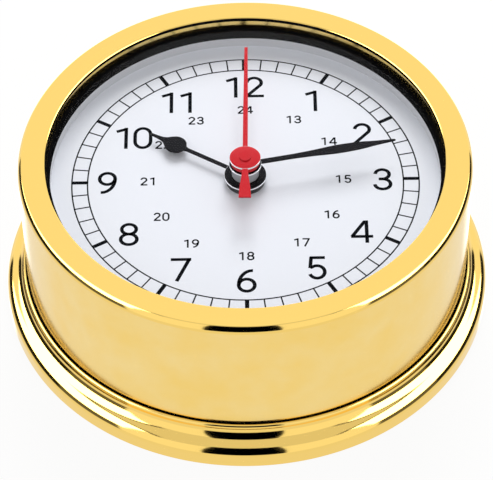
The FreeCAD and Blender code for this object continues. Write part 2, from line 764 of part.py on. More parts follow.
def meshed_phase(teeth, other_teeth, other_phase, direction):
    """The phase that sets a gear's gap against the other gear's tooth, seen from the other gear."""
    share = (direction - other_phase) / (math.tau / other_teeth)
    return direction + math.pi - math.tau / teeth * (0.5 - share)


def bearing_of(start, end):
    return math.atan2(value(end[1]) - value(start[1]), value(end[0]) - value(start[0]))


def turned_piece(label, solids, bores=(), at=("0", "0")):
    """One solid fused from gears and rods on a common axis, with its bores, set on its axis."""
    shape = solids[0].multiFuse(solids[1:]) if len(solids) > 1 else solids[0]
    for bore in bores:
        shape = shape.cut(bore)
    piece = doc.addObject("Part::Feature", label)
    piece.Label = label
    piece.Shape = shape.removeSplitter()
    piece.Placement = FreeCAD.Placement(
        FreeCAD.Vector(value(at[0]), value(at[1]), 0), FreeCAD.Rotation())
    PIECES.append(piece)


CENTRE = ("0", "0")
THIRD = ("third_x", "third_y")
FIFTH = ("fifth_x", "fifth_y")
ROTOR = ("rotor_x", "rotor_y")
MOTION = ("motion_x", "motion_y")


def mesh(driver, follower, driver_at, follower_at):
    """Module and phase of a meshed pair, the first gear's phase being nought."""
    driver_teeth = int(value(driver))
    follower_teeth = int(value(follower))
    gap = math.dist([value(word) for word in driver_at], [value(word) for word in follower_at])
    module = 2 * gap / (driver_teeth + follower_teeth)
    direction = bearing_of(driver_at, follower_at)
    phase = meshed_phase(follower_teeth, driver_teeth, 0.0, direction)
    return driver_teeth, follower_teeth, module, phase


# Rotor and fifth wheel
rotor_teeth, fifth_teeth, module, phase = mesh("rotor_teeth", "fifth_wheel_teeth", ROTOR, FIFTH)
turned_piece("rotor_magnet", [rod("magnet_radius", "magnet_foot", "magnet_foot + magnet_height")],
             [rod("arbor_radius", "magnet_foot", "magnet_foot + magnet_height")], ROTOR)
turned_piece("rotor_pinion", [
    gear(rotor_teeth, module, "fifth_wheel_foot - pinion_drop", "pinion_height"),
    rod("arbor_radius", "arbor_foot", "plate_pivot_top")], (), ROTOR)
fifth_wheel = gear(fifth_teeth, module, "fifth_wheel_foot", "wheel_thickness", phase)
turned_piece("fifth_wheel", [fifth_wheel],
             [rod("arbor_radius", "fifth_wheel_foot", "fifth_wheel_foot + wheel_thickness")], FIFTH)

# Fifth pinion and seconds wheel
fifth_teeth, seconds_teeth, module, phase = mesh("fifth_pinion_teeth", "seconds_wheel_teeth", FIFTH, CENTRE)
turned_piece("fifth_pinion", [
    gear(fifth_teeth, module, "seconds_wheel_foot - pinion_drop", "pinion_height"),
    rod("arbor_radius", "arbor_foot", "plate_pivot_top")], (), FIFTH)
turned_piece("seconds_wheel", [gear(seconds_teeth, module, "seconds_wheel_foot", "wheel_thickness", phase)],
             [rod("seconds_arbor_radius", "seconds_wheel_foot", "seconds_wheel_foot + wheel_thickness")])

# Seconds arbor and third wheel
seconds_teeth, third_teeth, module, phase = mesh("seconds_pinion_teeth", "third_wheel_teeth", CENTRE, THIRD)
turned_piece("seconds_arbor", [
    gear(seconds_teeth, module, "third_wheel_foot - pinion_drop", "pinion_height"),
    rod("seconds_arbor_radius", "arbor_foot", "second_level - hand_thickness")])
turned_piece("third_wheel", [gear(third_teeth, module, "third_wheel_foot", "wheel_thickness", phase)],
             [rod("arbor_radius", "third_wheel_foot", "third_wheel_foot + wheel_thickness")], THIRD)

# Third pinion and centre wheel with its cannon
third_teeth, centre_teeth, module, phase = mesh("third_pinion_teeth", "centre_wheel_teeth", THIRD, CENTRE)
turned_piece("third_pinion", [
    gear(third_teeth, module, "centre_wheel_foot - pinion_drop", "pinion_height"),
    rod("arbor_radius", "arbor_foot", "roof_pivot_top")], (), THIRD)
centre_gear = gear(centre_teeth, module, "centre_wheel_foot", "wheel_thickness", phase)
cannon_teeth, motion_teeth, module, phase = mesh("cannon_teeth", "motion_wheel_teeth", CENTRE, MOTION)
turned_piece("centre_wheel", [
    centre_gear,
    gear(cannon_teeth, module, "motion_wheel_foot - pinion_drop", "pinion_height"),
    rod("cannon_radius", "centre_wheel_foot - pinion_drop", "minute_level")],
    [rod("cannon_bore", "centre_wheel_foot - pinion_drop", "minute_level")])

# Motion work: the wheel on the setting stem, and the hour wheel with its tube
motion_gear = gear(motion_teeth, module, "motion_wheel_foot", "wheel_thickness", phase)
pinion_teeth, hour_teeth, module, phase = mesh("motion_pinion_teeth", "hour_wheel_teeth", MOTION, CENTRE)
turned_piece("motion_wheel", [
    motion_gear,
    gear(pinion_teeth, module, "motion_wheel_foot + wheel_thickness", "pinion_height + pinion_drop"),
    rod("motion_arbor_radius", "knob_top", "roof_pivot_top")], (), MOTION)
turned_piece("hour_wheel", [
    gear(hour_teeth, module, "hour_wheel_foot", "wheel_thickness", phase),
    rod("hour_tube_radius", "hour_wheel_foot", "hour_level")],
    [rod("hour_bore", "hour_wheel_foot", "hour_level")])

knob = new_body("setting_knob")
disc_at(knob, "grip", "knob_radius", "knob_top - knob_height", "knob_height")
scallop = hole_at(knob, "scallop", "knob_grip_radius", "knob_top", "knob_height", "knob_radius", "0")
repeat(knob, [scallop], "knob_grip_count")
knob.setExpression("Placement.Base.x", bound("motion_x"))
knob.setExpression("Placement.Base.y", bound("motion_y"))


# Hands, drawn pointing to twelve and turned to their bearings
def hand_outline(body, name, level, arm_width, root, length, wide, shares):
    """A hand's arm: straight to the first share, then through the shares to the tip."""
    sketch = new_sketch(body, name, "XY_Plane", level + " - hand_thickness")
    right = [(arm_width + " / 2", root)]
    right += [("%s * %g / 2" % (wide, share), "%s * %g" % (length, along))
              for along, share in shares]
    left = [("-" + across, up) for across, up in reversed(right)]
    draw_loop(sketch, right + [("0", length)] + left)
    return pad(body, sketch, "hand_thickness")


def set_bearing(body, bearing):
    body.setExpression("Placement.Rotation.Angle", bound("0 - " + bearing))


def hub(body, radius, level, bore):
    disc_at(body, "hub", radius, level + " - hand_thickness", "hand_thickness")
    hole_at(body, "hub_bore", bore, level, "hand_thickness")


hour_hand = new_body("hour_hand")
hand_outline(hour_hand, "arm", "hour_level", "hour_arm_width", "hour_hub_radius / 2", "hour_length",
             "hour_bulb_width", HOUR_SHARES)
hub(hour_hand, "hour_hub_radius", "hour_level", "hour_tube_radius")
set_bearing(hour_hand, "hour_bearing")
collar("hour_collar", "hour_tube_radius", "hour_collar_radius",
       "hour_level - hand_thickness - hour_collar_height", "hour_level - hand_thickness")

minute_hand = new_body("minute_hand")
hand_outline(minute_hand, "arm", "minute_level", "minute_arm_width", "minute_hub_radius / 2",
             "minute_length", "minute_lance_width", MINUTE_SHARES)
hub(minute_hand, "minute_hub_radius", "minute_level", "cannon_radius")
set_bearing(minute_hand, "minute_bearing")
collar("minute_bush", "cannon_radius", "bush_radius", "hour_level + bush_gap",
       "minute_level - hand_thickness")

second_hand = new_body("second_hand")
disc_at(second_hand, "disc", "second_disc_radius", "second_level - hand_thickness", "hand_thickness")
disc_at(second_hand, "boss", "second_boss_radius", "second_level", "second_boss_height")
pointer = new_sketch(second_hand, "pointer", "XY_Plane", "second_level - hand_thickness")
draw_loop(pointer, [
    ("-second_arm_width / 2", "0"),
    ("second_arm_width / 2", "0"),
    ("second_tip_width / 2", "second_length"),
    ("-second_tip_width / 2", "second_length"),
])
pad(second_hand, pointer, "hand_thickness")
tail = new_sketch(second_hand, "tail", "XY_Plane", "second_level - hand_thickness")
draw_loop(tail, [
    ("-second_tail_width / 2", "-second_tail_length"),
    ("second_tail_width / 2", "-second_tail_length"),
    ("second_tail_root / 2", "-second_disc_radius / 2"),
    ("-second_tail_root / 2", "-second_disc_radius / 2"),
])
pad(second_hand, tail, "hand_thickness")
set_bearing(second_hand, "second_bearing")
collar("second_bush", "seconds_arbor_radius", "second_bush_radius", "minute_level + bush_gap",
       "second_level - hand_thickness")

doc.recompute()
for thing in doc.Objects:
    if "Invalid" in thing.State or "Error" in thing.State:
        raise RuntimeError("failed: " + thing.Label + " " + str(thing.State))
    if thing.isDerivedFrom("Sketcher::SketchObject") and not thing.FullyConstrained:
        raise RuntimeError("not fixed: " + thing.Label)
for piece in PIECES:
    if piece.Shape.isNull() or not piece.Shape.isValid() or not piece.Shape.Solids:
        raise RuntimeError("no valid solid: " + piece.Label)

os.makedirs("parts", exist_ok=True)
for piece in PIECES:
    piece.Shape.exportStep("parts/" + piece.Label + ".step")
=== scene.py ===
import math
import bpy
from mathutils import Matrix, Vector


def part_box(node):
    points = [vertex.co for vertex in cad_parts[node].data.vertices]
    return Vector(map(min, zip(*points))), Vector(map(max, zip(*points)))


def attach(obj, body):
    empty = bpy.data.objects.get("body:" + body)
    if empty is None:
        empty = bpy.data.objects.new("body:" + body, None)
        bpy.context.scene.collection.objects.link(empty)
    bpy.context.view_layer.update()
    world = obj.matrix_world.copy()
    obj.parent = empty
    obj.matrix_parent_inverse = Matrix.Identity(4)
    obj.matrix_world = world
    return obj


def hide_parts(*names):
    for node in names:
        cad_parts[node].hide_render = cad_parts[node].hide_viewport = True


bl_info = {
    "name": "Brass wall clock",
    "version": (1, 0, 0),
    "blender": (4, 5, 0),
    "location": "3D View > Sidebar > Clock",
    "description": "Models and finishes a round brass wall clock around its construction model",
    "category": "Object",
}

import bmesh
import bpy
from mathutils import Vector

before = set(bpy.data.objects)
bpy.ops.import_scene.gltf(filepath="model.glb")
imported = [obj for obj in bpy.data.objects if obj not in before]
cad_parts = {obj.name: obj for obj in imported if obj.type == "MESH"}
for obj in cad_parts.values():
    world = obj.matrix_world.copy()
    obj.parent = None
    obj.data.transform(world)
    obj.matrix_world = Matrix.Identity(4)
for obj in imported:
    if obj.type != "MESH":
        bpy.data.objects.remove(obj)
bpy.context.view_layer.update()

MM = 0.001
# Sides of the turned pieces, and steps of the arcs in their profiles
RING_SIDES = 256
HUB_SIDES = 96
MOULDING_STEPS = 14
CREST_STEPS = 8
EDGE_STEPS = 18
DOME_STEPS = 24

# Bevels of the rings' edges and of the drum's face
RING_SOFT = 0.15 * MM
FACE_SOFT = 0.12 * MM
# Small holes that a face closes, at the glass's pole and in the second hand's disc
POLE_HOLE = 0.5 * MM
DISC_HOLE = 0.2 * MM
# Hair's breadth between the dial and its ink
INK_GAP = 0.002 * MM
# Reach within which a face counts as lying at a radius or a height
NEAR = 0.1 * MM
# Distances at which corners melt into one: of pieces, of outlines and of unscaled figures
WELD = 0.001 * MM
OUTLINE_WELD = 0.0001 * MM
FIGURE_WELD = 0.01 * MM
# Sharpest angles that stay smooth and that stay unbevelled, and the turn of one minute
SMOOTH_ANGLE = math.radians(30.0)
BEVEL_ANGLE = math.radians(50.0)
MINUTE_TURN = math.radians(6.0)


# Settings: the sizes are the construction model's, apart from a few finer edges and lines
def length(name, description, default_mm):
    return bpy.props.FloatProperty(
        name=name, description=description, default=default_mm * MM, precision=5,
        subtype="DISTANCE", unit="LENGTH")


def angle(name, description, default_degrees):
    return bpy.props.FloatProperty(
        name=name, description=description, default=math.radians(default_degrees),
        subtype="ANGLE", unit="ROTATION")


def share(name, description, default):
    return bpy.props.FloatProperty(
        name=name, description=description, default=default, min=0.0, max=1.0, subtype="FACTOR")


def level(name, description, default):
    return bpy.props.FloatProperty(name=name, description=description, default=default, min=0.0)


def colour(name, description, default):
    return bpy.props.FloatVectorProperty(
        name=name, description=description, default=default, min=0.0, max=1.0, size=3,
        subtype="COLOR")


def point(name, description, default, subtype="XYZ", unit="LENGTH"):
    return bpy.props.FloatVectorProperty(
        name=name, description=description, default=default, size=3, subtype=subtype, unit=unit)


class ClockCase(bpy.types.PropertyGroup):
    ring_radius: length("Ring radius", "Outer radius of the base ring", 60.0)
    ring_height: length("Ring height", "Height of the base ring", 9.9)
    ring_wall: length("Ring wall", "Height of the ring's upright foot", 3.0)
    crest_radius: length("Crest radius", "Rounding of the ring's upper edge", 0.58)
    groove_width: length("Groove width", "Narrow groove between the ring and the drum", 0.35)
    groove_depth: length("Groove depth", "Depth of that groove", 1.6)
    ring_bore: length("Ring bore", "Bore of the ring round the drum", 54.85)
    recess_radius: length("Recess radius", "Recess in the ring for the rear cover", 59.0)
    cover_thickness: length("Cover thickness", "Depth of the recess for the cover", 2.0)
    moulding_radius: length("Moulding radius", "Radius of the two arcs of the moulding", 3.04)
    moulding_turn: angle("Moulding turn", "How far each arc of the moulding turns", 72.0)
    drum_radius: length("Drum radius", "Outer radius of the drum", 54.8)
    drum_bore: length("Drum bore", "Inner radius of the drum", 53.3)
    drum_edge: length("Drum edge", "Rounding of the drum's front edge", 2.45)
    edge_turn: angle("Edge turn", "How far that rounding turns before the face", 50.0)
    case_height: length("Case height", "Height of the drum's front face", 44.2)
    bevel_radius: length("Bevel radius", "Where the front face ends and the bevel starts", 48.45)
    bevel_drop: length("Bevel drop", "Depth of the bevel", 0.2)
    # The black band under the bevel is a painted dark reflection on the lip's wall
    painted_reflection_width: length("Painted reflection width", "Width of the black line under the bevel", 0.95)
    lip_radius: length("Lip radius", "Radius of the wall round the glass", 48.25)
    opening_radius: length("Opening radius", "Radius of the clear opening", 47.3)
    seat_height: length("Seat height", "Height of the seat for the glass", 41.0)
    lip_underside: length("Lip underside", "Height of the lip's lower side", 40.6)
    gasket_foot: length("Gasket foot", "Height of the black ring's lower side", 38.0)
    stack_radius: length("Stack radius", "Outer radius of the rings and the dial", 53.0)
    brass: colour("Brass", "Colour of the polished brass", (0.97, 0.675, 0.185))
    pale_brass: colour("Pale brass", "Palest colour of the drum's walls", (0.97, 0.73, 0.29))
    polish: share("Polish", "Least roughness of the polished brass", 0.05)
    satin: share("Satin", "Least roughness of the drum's walls", 0.12)
    # This black also paints shade in the ring's groove and a dark reflection under the bevel
    gasket_and_painted_dark: colour("Gasket", "Colour of the black ring", (0.006, 0.006, 0.0065))
    rehaut: colour("Rehaut", "Colour of the pale ring", (0.72, 0.73, 0.75))


class ClockGlass(bpy.types.PropertyGroup):
    radius: length("Glass radius", "Outer radius of the glass", 48.2)
    foot_radius: length("Foot radius", "Inner radius of the rim that it stands on", 47.2)
    dome_radius: length("Dome radius", "Radius of the dome's inner face", 150.0)
    thickness: length("Glass thickness", "Thickness of the glass", 1.4)
    tint: colour("Glass tint", "Colour of the glass", (0.99, 0.992, 1.0))
    index: level("Glass index", "How strongly the glass mirrors towards its edges", 1.45)
    mirror: share("Glass mirror", "Share of that mirroring that is kept", 0.1)


class ClockDial(bpy.types.PropertyGroup):
    top: length("Dial top", "Height of the dial's face", 35.4)
    back: length("Dial back", "Height of the dial's back", 34.4)
    bore: length("Dial bore", "Radius of the hole in the middle", 3.8)
    track_outer: length("Outer track", "Radius of the outer track circle", 42.15)
    track_inner: length("Inner track", "Radius of the inner track circle", 38.34)
    track_line: length("Track line", "Width of the track's circles and minute lines", 0.34)
    hour_line: length("Hour line", "Width of the hour lines of the track", 1.0)
    ink_height: length("Ink height", "Thickness of the printed ink", 0.02)
    figure_height: length("Figure height", "Height of the large figures", 7.2)
    small_line: share("Small line", "Line of a small figure as a share of its height", 0.16)
    small_height: length("Small figure height", "Height of the small figures", 2.55)
    figure_line: share("Figure line", "Width of a figure's line as a share of its height", 0.122)
    white: colour("White", "Colour of the dial", (0.905, 0.925, 0.965))
    ink: colour("Ink", "Colour of the print", (0.006, 0.007, 0.009))


class ClockHands(bpy.types.PropertyGroup):
    thickness: length("Hand thickness", "Thickness of each hand", 0.45)
    edge: length("Hand edge", "Rounding of the hands' edges", 0.08)
    sink: length("Arm sink", "How far an arm's face lies below its hub's", 0.03)
    bare_rim: length("Bare rim", "Height of the bare metal rim of each hub", 0.55)
    hour_level: length("Hour hand height", "Height of the hour hand's face", 37.6)
    minute_level: length("Minute hand height", "Height of the minute hand's face", 41.45)
    second_level: length("Second hand height", "Height of the second hand's face", 43.6)
    hour_hub: length("Hour hub", "Radius of the hour hand's hub", 5.13)
    minute_hub: length("Minute hub", "Radius of the minute hand's hub", 3.9)
    second_disc: length("Second disc", "Radius of the second hand's disc", 3.8)
    second_boss: length("Second boss", "Radius of the pin on the second hand's disc", 1.4)
    boss_height: length("Boss height", "Height of the pin on the disc", 0.4)
    hour_bore: length("Hour bore", "Bore of the hour hand", 2.5)
    minute_bore: length("Minute bore", "Bore of the minute hand", 1.7)
    bush_radius: length("Bush radius", "Radius of the tube under the minute hand", 3.3)
    bush_gap: length("Bush gap", "Space between the hour hand and the tube", 0.25)
    second_bush: length("Second bush", "Radius of the bush under the second hand", 3.45)
    second_bore: length("Second bore", "Bore of the bush under the second hand", 0.6)
    hour_bearing: angle("Hour bearing", "Turn of the hour hand from twelve", 302.0)
    minute_bearing: angle("Minute bearing", "Turn of the minute hand from twelve", 78.4)
    second_bearing: angle("Second bearing", "Turn of the second hand from twelve", 0.9)
    black: colour("Black", "Colour of the hour and minute hands", (0.010, 0.010, 0.012))
    red: colour("Red", "Colour of the second hand", (0.64, 0.014, 0.022))
    chrome: colour("Chrome", "Colour of the hubs' rims", (0.9, 0.9, 0.92))
    tube: colour("Tube", "Colour of the tube between the hands", (0.42, 0.43, 0.45))


class ClockStage(bpy.types.PropertyGroup):
    camera_place: point(
        "Camera place", "Where the camera stands", (0.000235, -0.454971, 0.516207))
    camera_turn: point(
        "Camera turn", "How the camera is turned",
        tuple(math.radians(a) for a in (42.16880, 0.53818, -0.57140)), "EULER", "ROTATION")
    lens: level("Lens", "Focal length of the camera in millimetres", 198.98)
    floor_size: length("Floor size", "Side of the floor", 6000.0)
    floor: colour("Floor", "Colour of the floor", (0.96, 0.96, 0.96))
    floor_white: share("Floor white", "How near to white the camera sees the floor", 0.92)
    lamp_place: point("Lamp place", "Where the soft lamp hangs", (0.05, 0.6, 0.62))
    lamp_aim: point("Lamp aim", "Which way the soft lamp shines", (-0.05, -0.6, -0.58))
    lamp_size: length("Lamp size", "Width of the soft lamp", 500.0)
    lamp_power: level("Lamp power", "Power of the soft lamp in watts", 4.5)
    back: level("Back light", "Brightness of the studio walls that metal shows", 1.04)
    sky: level("Sky light", "Brightness of the even light on everything else", 0.61)
    panel: level("Panel light", "Brightness of the side panels", 5.0)
    backdrop: level("Backdrop light", "Brightness of the low backdrop behind", 2.0)
    ceiling: level("Ceiling light", "Brightness of the ceiling", 0.8)
    table: level("Table light", "Brightness of the table that metal shows", 0.9)
    card: level("Card light", "Brightness of the black card round the camera", 0.0)
    edge_line: level("Edge light", "Brightness of the dark line beside each panel", 0.15)
    gap_front: share("Gap front", "Strength of the dark gap below the panels' front part", 0.86)
    gap_rest: share("Gap rest", "Strength added to that gap further back", 0.12)


GROUPS = (
    ("clock_case", ClockCase),
    ("clock_glass", ClockGlass),
    ("clock_dial", ClockDial),
    ("clock_hands", ClockHands),
    ("clock_stage", ClockStage),
)


# Shader sums and nodes
class Value:
    """A node's output that takes part in sums; each sum adds a Math node."""

    def __init__(self, maker, socket):
        self.maker = maker
        self.socket = socket

    def sum(self, operation, *values, clamp=False):
        """A Math node with this output first."""
        return self.maker.math(operation, self, *values, clamp=clamp)

    def __add__(self, other):
        return self.sum("ADD", other)

    def __mul__(self, other):
        return self.sum("MULTIPLY", other)

    def __radd__(self, other):
        return self.maker.math("ADD", other, self)

    def __rsub__(self, other):
        return self.maker.math("SUBTRACT", other, self)

    def __neg__(self):
        return self.sum("MULTIPLY", -1.0)

    def __abs__(self):
        return self.sum("ABSOLUTE")

    def above(self, edge, softness):
        """A mask that rises from 0 to 1 across edge."""
        rise = 1.0 / softness
        return self.sum("MULTIPLY_ADD", rise, 0.5 - edge * rise, clamp=True)

    def below(self, edge, softness):
        return 1.0 - self.above(edge, softness)

    def between(self, low, high, softness):
        return self.above(low, softness) * self.below(high, softness)


class Maker:
    """Adds nodes to a material or to the world."""

    def __init__(self, tree):
        self.tree = tree
        tree.nodes.clear()

    def node(self, kind, settings=None, inputs=None, output=0):
        """Add a node: its settings first, then values or links into its sockets."""
        made = self.tree.nodes.new(kind)
        for name, value in (settings or {}).items():
            setattr(made, name, value)
        for name, value in (inputs or {}).items():
            if isinstance(value, Value):
                self.tree.links.new(value.socket, made.inputs[name])
            else:
                made.inputs[name].default_value = value
        return Value(self, made.outputs[output]) if len(made.outputs) else made

    def math(self, operation, *values, clamp=False):
        settings = {"operation": operation, "use_clamp": clamp}
        return self.node("ShaderNodeMath", settings, dict(enumerate(values)))

    def mix(self, factor, first, second):
        """Two colours mixed by a factor."""
        settings = {"data_type": "RGBA"}
        return self.node("ShaderNodeMix", settings, {0: factor, 6: first, 7: second}, 2)

    def mix_shaders(self, factor, first, second):
        return self.node("ShaderNodeMixShader", inputs={0: factor, 1: first, 2: second})

    def ray(self, kind):
        """Whether a ray is of a kind, or how often it has turned."""
        return self.node("ShaderNodeLightPath", output=kind)

    def noise(self, scale, detail):
        place = self.node("ShaderNodeTexCoord", output="Object")
        inputs = {"Vector": place, "Scale": scale, "Detail": detail}
        return self.node("ShaderNodeTexNoise", inputs=inputs)

    def bump(self, height, strength, distance):
        inputs = {"Height": height, "Strength": strength, "Distance": distance}
        return self.node("ShaderNodeBump", inputs=inputs)

    def show(self, shader, output="ShaderNodeOutputMaterial"):
        self.node(output, inputs={"Surface": shader})


WHITE = (1.0, 1.0, 1.0, 1.0)


def solid(tint):
    return (*tint, 1.0)


def new_material(name, build):
    """A material whose nodes the build function adds."""
    material = bpy.data.materials.new(name)
    material.use_nodes = True
    maker = Maker(material.node_tree)
    maker.show(build(maker))
    return material


def surface(maker, **inputs):
    """The standard shader, with its sockets' names written with underscores."""
    named = {name.replace("_", " "): value for name, value in inputs.items()}
    return maker.node("ShaderNodeBsdfPrincipled", inputs=named)


def brass_surface(maker, tint, roughness):
    """Brass with a very fine grain."""
    grain = maker.noise(2600.0, 2.0)
    return surface(
        maker, Base_Color=tint, Metallic=1.0, Roughness=roughness,
        Normal=maker.bump(grain, 0.05, 0.02 * MM))


def polished_brass(maker):
    """Bright brass with uneven wear."""
    case = bpy.context.scene.clock_case
    wear = maker.noise(900.0, 3.0)
    return brass_surface(maker, solid(case.brass), case.polish + wear * 0.04)


def satin_brass(maker):
    """Brass that is a little duller than the polished edges, and faintly cloudy."""
    case = bpy.context.scene.clock_case
    cloud = maker.noise(110.0, 6.0).above(0.5, 0.5)
    tint = maker.mix(cloud, solid(case.brass), solid(case.pale_brass))
    return brass_surface(maker, tint, case.satin + cloud * 0.06)


def plain_finish(tint, roughness, metallic=0.0, spread=0.08, shine=0.5):
    """A finish with a fine grain in its roughness and its colour."""
    def build(maker):
        grain = maker.noise(1500.0, 3.0)
        dark = tuple(part * (1.0 - spread) for part in tint)
        light = tuple(min(1.0, part * (1.0 + spread)) for part in tint)
        return surface(
            maker, Base_Color=maker.mix(grain, solid(dark), solid(light)), Metallic=metallic,
            Roughness=roughness - spread / 2 + grain * spread, Specular_IOR_Level=shine,
            Normal=maker.bump(grain, 0.1, 0.01 * MM))
    return build


def clear_glass(maker):
    """Very clear glass: light goes straight through, and its outer side mirrors a little."""
    glass = bpy.context.scene.clock_glass
    tint = solid(glass.tint)
    clear = maker.node("ShaderNodeBsdfTransparent", inputs={"Color": tint})
    mirror = surface(maker, Base_Color=tint, Metallic=1.0, Roughness=0.0)
    edge = maker.node("ShaderNodeFresnel", inputs={"IOR": glass.index})
    outer = 1.0 - maker.node("ShaderNodeNewGeometry", output="Backfacing")
    return maker.mix_shaders(edge * outer * glass.mirror, clear, mirror)


# Modelling steps
def leave_edit():
    bpy.ops.object.mode_set(mode="OBJECT")


def deselect():
    if bpy.context.object and bpy.context.object.mode != "OBJECT":
        leave_edit()
    bpy.ops.object.select_all(action="DESELECT")


def select_only(*pieces):
    """Select some pieces, the first of them active."""
    deselect()
    for piece in pieces:
        piece.select_set(True)
    bpy.context.view_layer.objects.active = pieces[0]


def edit_all():
    """Edit the active piece with all of it selected."""
    bpy.ops.object.mode_set(mode="EDIT")
    bpy.ops.mesh.select_all(action="SELECT")


def extrude_edges(move):
    bpy.ops.mesh.extrude_edges_move(TRANSFORM_OT_translate={"value": move})


def extrude_faces(rise):
    bpy.ops.mesh.extrude_region_move(TRANSFORM_OT_translate={"value": (0.0, 0.0, rise)})


def finish_piece(name, finish, even=True):
    """Close the piece in edit mode, then set its place, shading and material."""
    edit_all()
    bpy.ops.mesh.remove_doubles(threshold=WELD)
    bpy.ops.mesh.normals_make_consistent(inside=False)
    leave_edit()
    piece = bpy.context.object
    bpy.ops.object.transform_apply()
    bpy.ops.object.shade_smooth_by_angle(angle=SMOOTH_ANGLE)
    if even:
        bpy.ops.object.modifier_add(type="WEIGHTED_NORMAL")
        piece.modifiers[-1].keep_sharp = True
        bpy.ops.object.modifier_apply(modifier=piece.modifiers[-1].name)
    piece.name = name
    piece.data.name = name
    piece.data.materials.clear()
    piece.data.materials.append(MATERIALS[finish])
    return piece


def arc(centre, across, up, start, end, steps):
    """Corners along an arc with a radius across and one up, between two angles in degrees."""
    corners = []
    for step in range(steps + 1):
        turn = math.radians(start + (end - start) * step / steps)
        corners.append((centre[0] + across * math.cos(turn), centre[1] + up * math.sin(turn)))
    return corners


def turned(profile, sides=RING_SIDES, close=True):
    """Extrude a circle along a profile of radii and heights, as on a lathe."""
    deselect()
    first = profile[0]
    bpy.ops.mesh.primitive_circle_add(
        vertices=sides, radius=first[0], fill_type="NOTHING", location=(0.0, 0.0, first[1]))
    bpy.ops.object.transform_apply()
    edit_all()
    radius, height = first
    for new_radius, new_height in profile[1:] + [first] * close:
        extrude_edges((0.0, 0.0, new_height - height))
        grow = new_radius / radius
        bpy.ops.transform.resize(value=(grow, grow, 1.0), center_override=(0.0, 0.0, 0.0))
        radius, height = new_radius, new_height
    leave_edit()


def fill_open_rings():
    """Close every open edge ring of the piece with one face."""
    bpy.ops.object.mode_set(mode="EDIT")
    bpy.ops.mesh.select_mode(type="EDGE")
    bpy.ops.mesh.select_all(action="DESELECT")
    bpy.ops.mesh.select_non_manifold()
    bpy.ops.mesh.fill_holes(sides=0)
    bpy.ops.mesh.select_mode(type="VERT")
    leave_edit()


def join(pieces):
    select_only(*pieces)
    bpy.ops.object.join()
    return bpy.context.object


def rounded_plate(thickness, edge):
    """Give the flat outline its thickness downwards and round its edges."""
    edit_all()
    bpy.ops.mesh.remove_doubles(threshold=OUTLINE_WELD)
    extrude_faces(-thickness)
    bpy.ops.mesh.select_all(action="SELECT")
    bpy.ops.mesh.normals_make_consistent(inside=False)
    leave_edit()
    bpy.ops.object.modifier_add(type="BEVEL")
    bevel = bpy.context.object.modifiers[-1]
    bevel.width = edge
    bevel.segments = 2
    bevel.limit_method = "ANGLE"
    bevel.angle_limit = BEVEL_ANGLE
    bpy.ops.object.modifier_apply(modifier=bevel.name)


def drawn_arm(rows, height, thickness, edge):
    """A flat arm along +Y, drawn out row by row from pairs of reach and width."""
    deselect()
    reach, width = rows[0]
    bpy.ops.mesh.primitive_plane_add(size=1.0, location=(0.0, 0.0, height))
    bpy.ops.object.transform_apply()
    edit_all()
    depth = rows[1][0] - reach
    bpy.ops.transform.resize(value=(width, depth, 1.0), center_override=(0.0, 0.0, height))
    bpy.ops.transform.translate(value=(0.0, reach + depth / 2, 0.0))
    bpy.ops.mesh.select_mode(type="EDGE")
    select_far_edge()
    at, wide = reach + depth, width
    for reach, width in rows[1:]:
        if reach > at:
            extrude_edges((0.0, reach - at, 0.0))
        bpy.ops.transform.resize(
            value=(width / wide, 1.0, 1.0), center_override=(0.0, reach, height))
        at, wide = reach, width
    bpy.ops.mesh.select_mode(type="VERT")
    leave_edit()
    rounded_plate(thickness, edge)
    return bpy.context.object


def select_far_edge():
    """Select the edge of the open mesh that lies furthest along +Y."""
    mesh = bmesh.from_edit_mesh(bpy.context.object.data)
    far = max(vertex.co.y for vertex in mesh.verts)
    for edge in mesh.edges:
        edge.select_set(all(far - vertex.co.y < WELD for vertex in edge.verts))
    mesh.select_flush_mode()
    bmesh.update_edit_mesh(bpy.context.object.data)


def hub_rim(radius, top, foot, edge):
    """The outer profile of a flat round hub, with rounded edges."""
    return [
        (radius - edge, foot), (radius, foot + edge), (radius, top - edge),
        (radius - edge / 3, top - edge / 3), (radius - edge, top),
    ]


def hub_piece(radius, bore, top, foot, edge):
    profile = [(bore, foot), *hub_rim(radius, top, foot, edge), (bore, top)]
    turned(profile, sides=HUB_SIDES)
    return bpy.context.object


def turn_to(piece, bearing):
    """Turn a hand clockwise from twelve."""
    piece.rotation_euler = (0.0, 0.0, -bearing)
    bpy.ops.object.transform_apply()


def give_finish(piece, finish, radii, heights):
    """Give the faces whose middles lie between two radii and two heights another finish."""
    materials = piece.data.materials
    material = MATERIALS[finish]
    if material.name not in materials:
        materials.append(material)
    index = materials.find(material.name)
    for face in piece.data.polygons:
        middle = face.center
        out = middle.to_2d().length
        if radii[0] < out < radii[1] and heights[0] < middle.z < heights[1]:
            face.material_index = index


def keep(piece, body, node):
    """Hide the construction node that the piece stands for, and attach the piece to the body it
    moves with.
    """
    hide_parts(node)
    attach(piece, body)


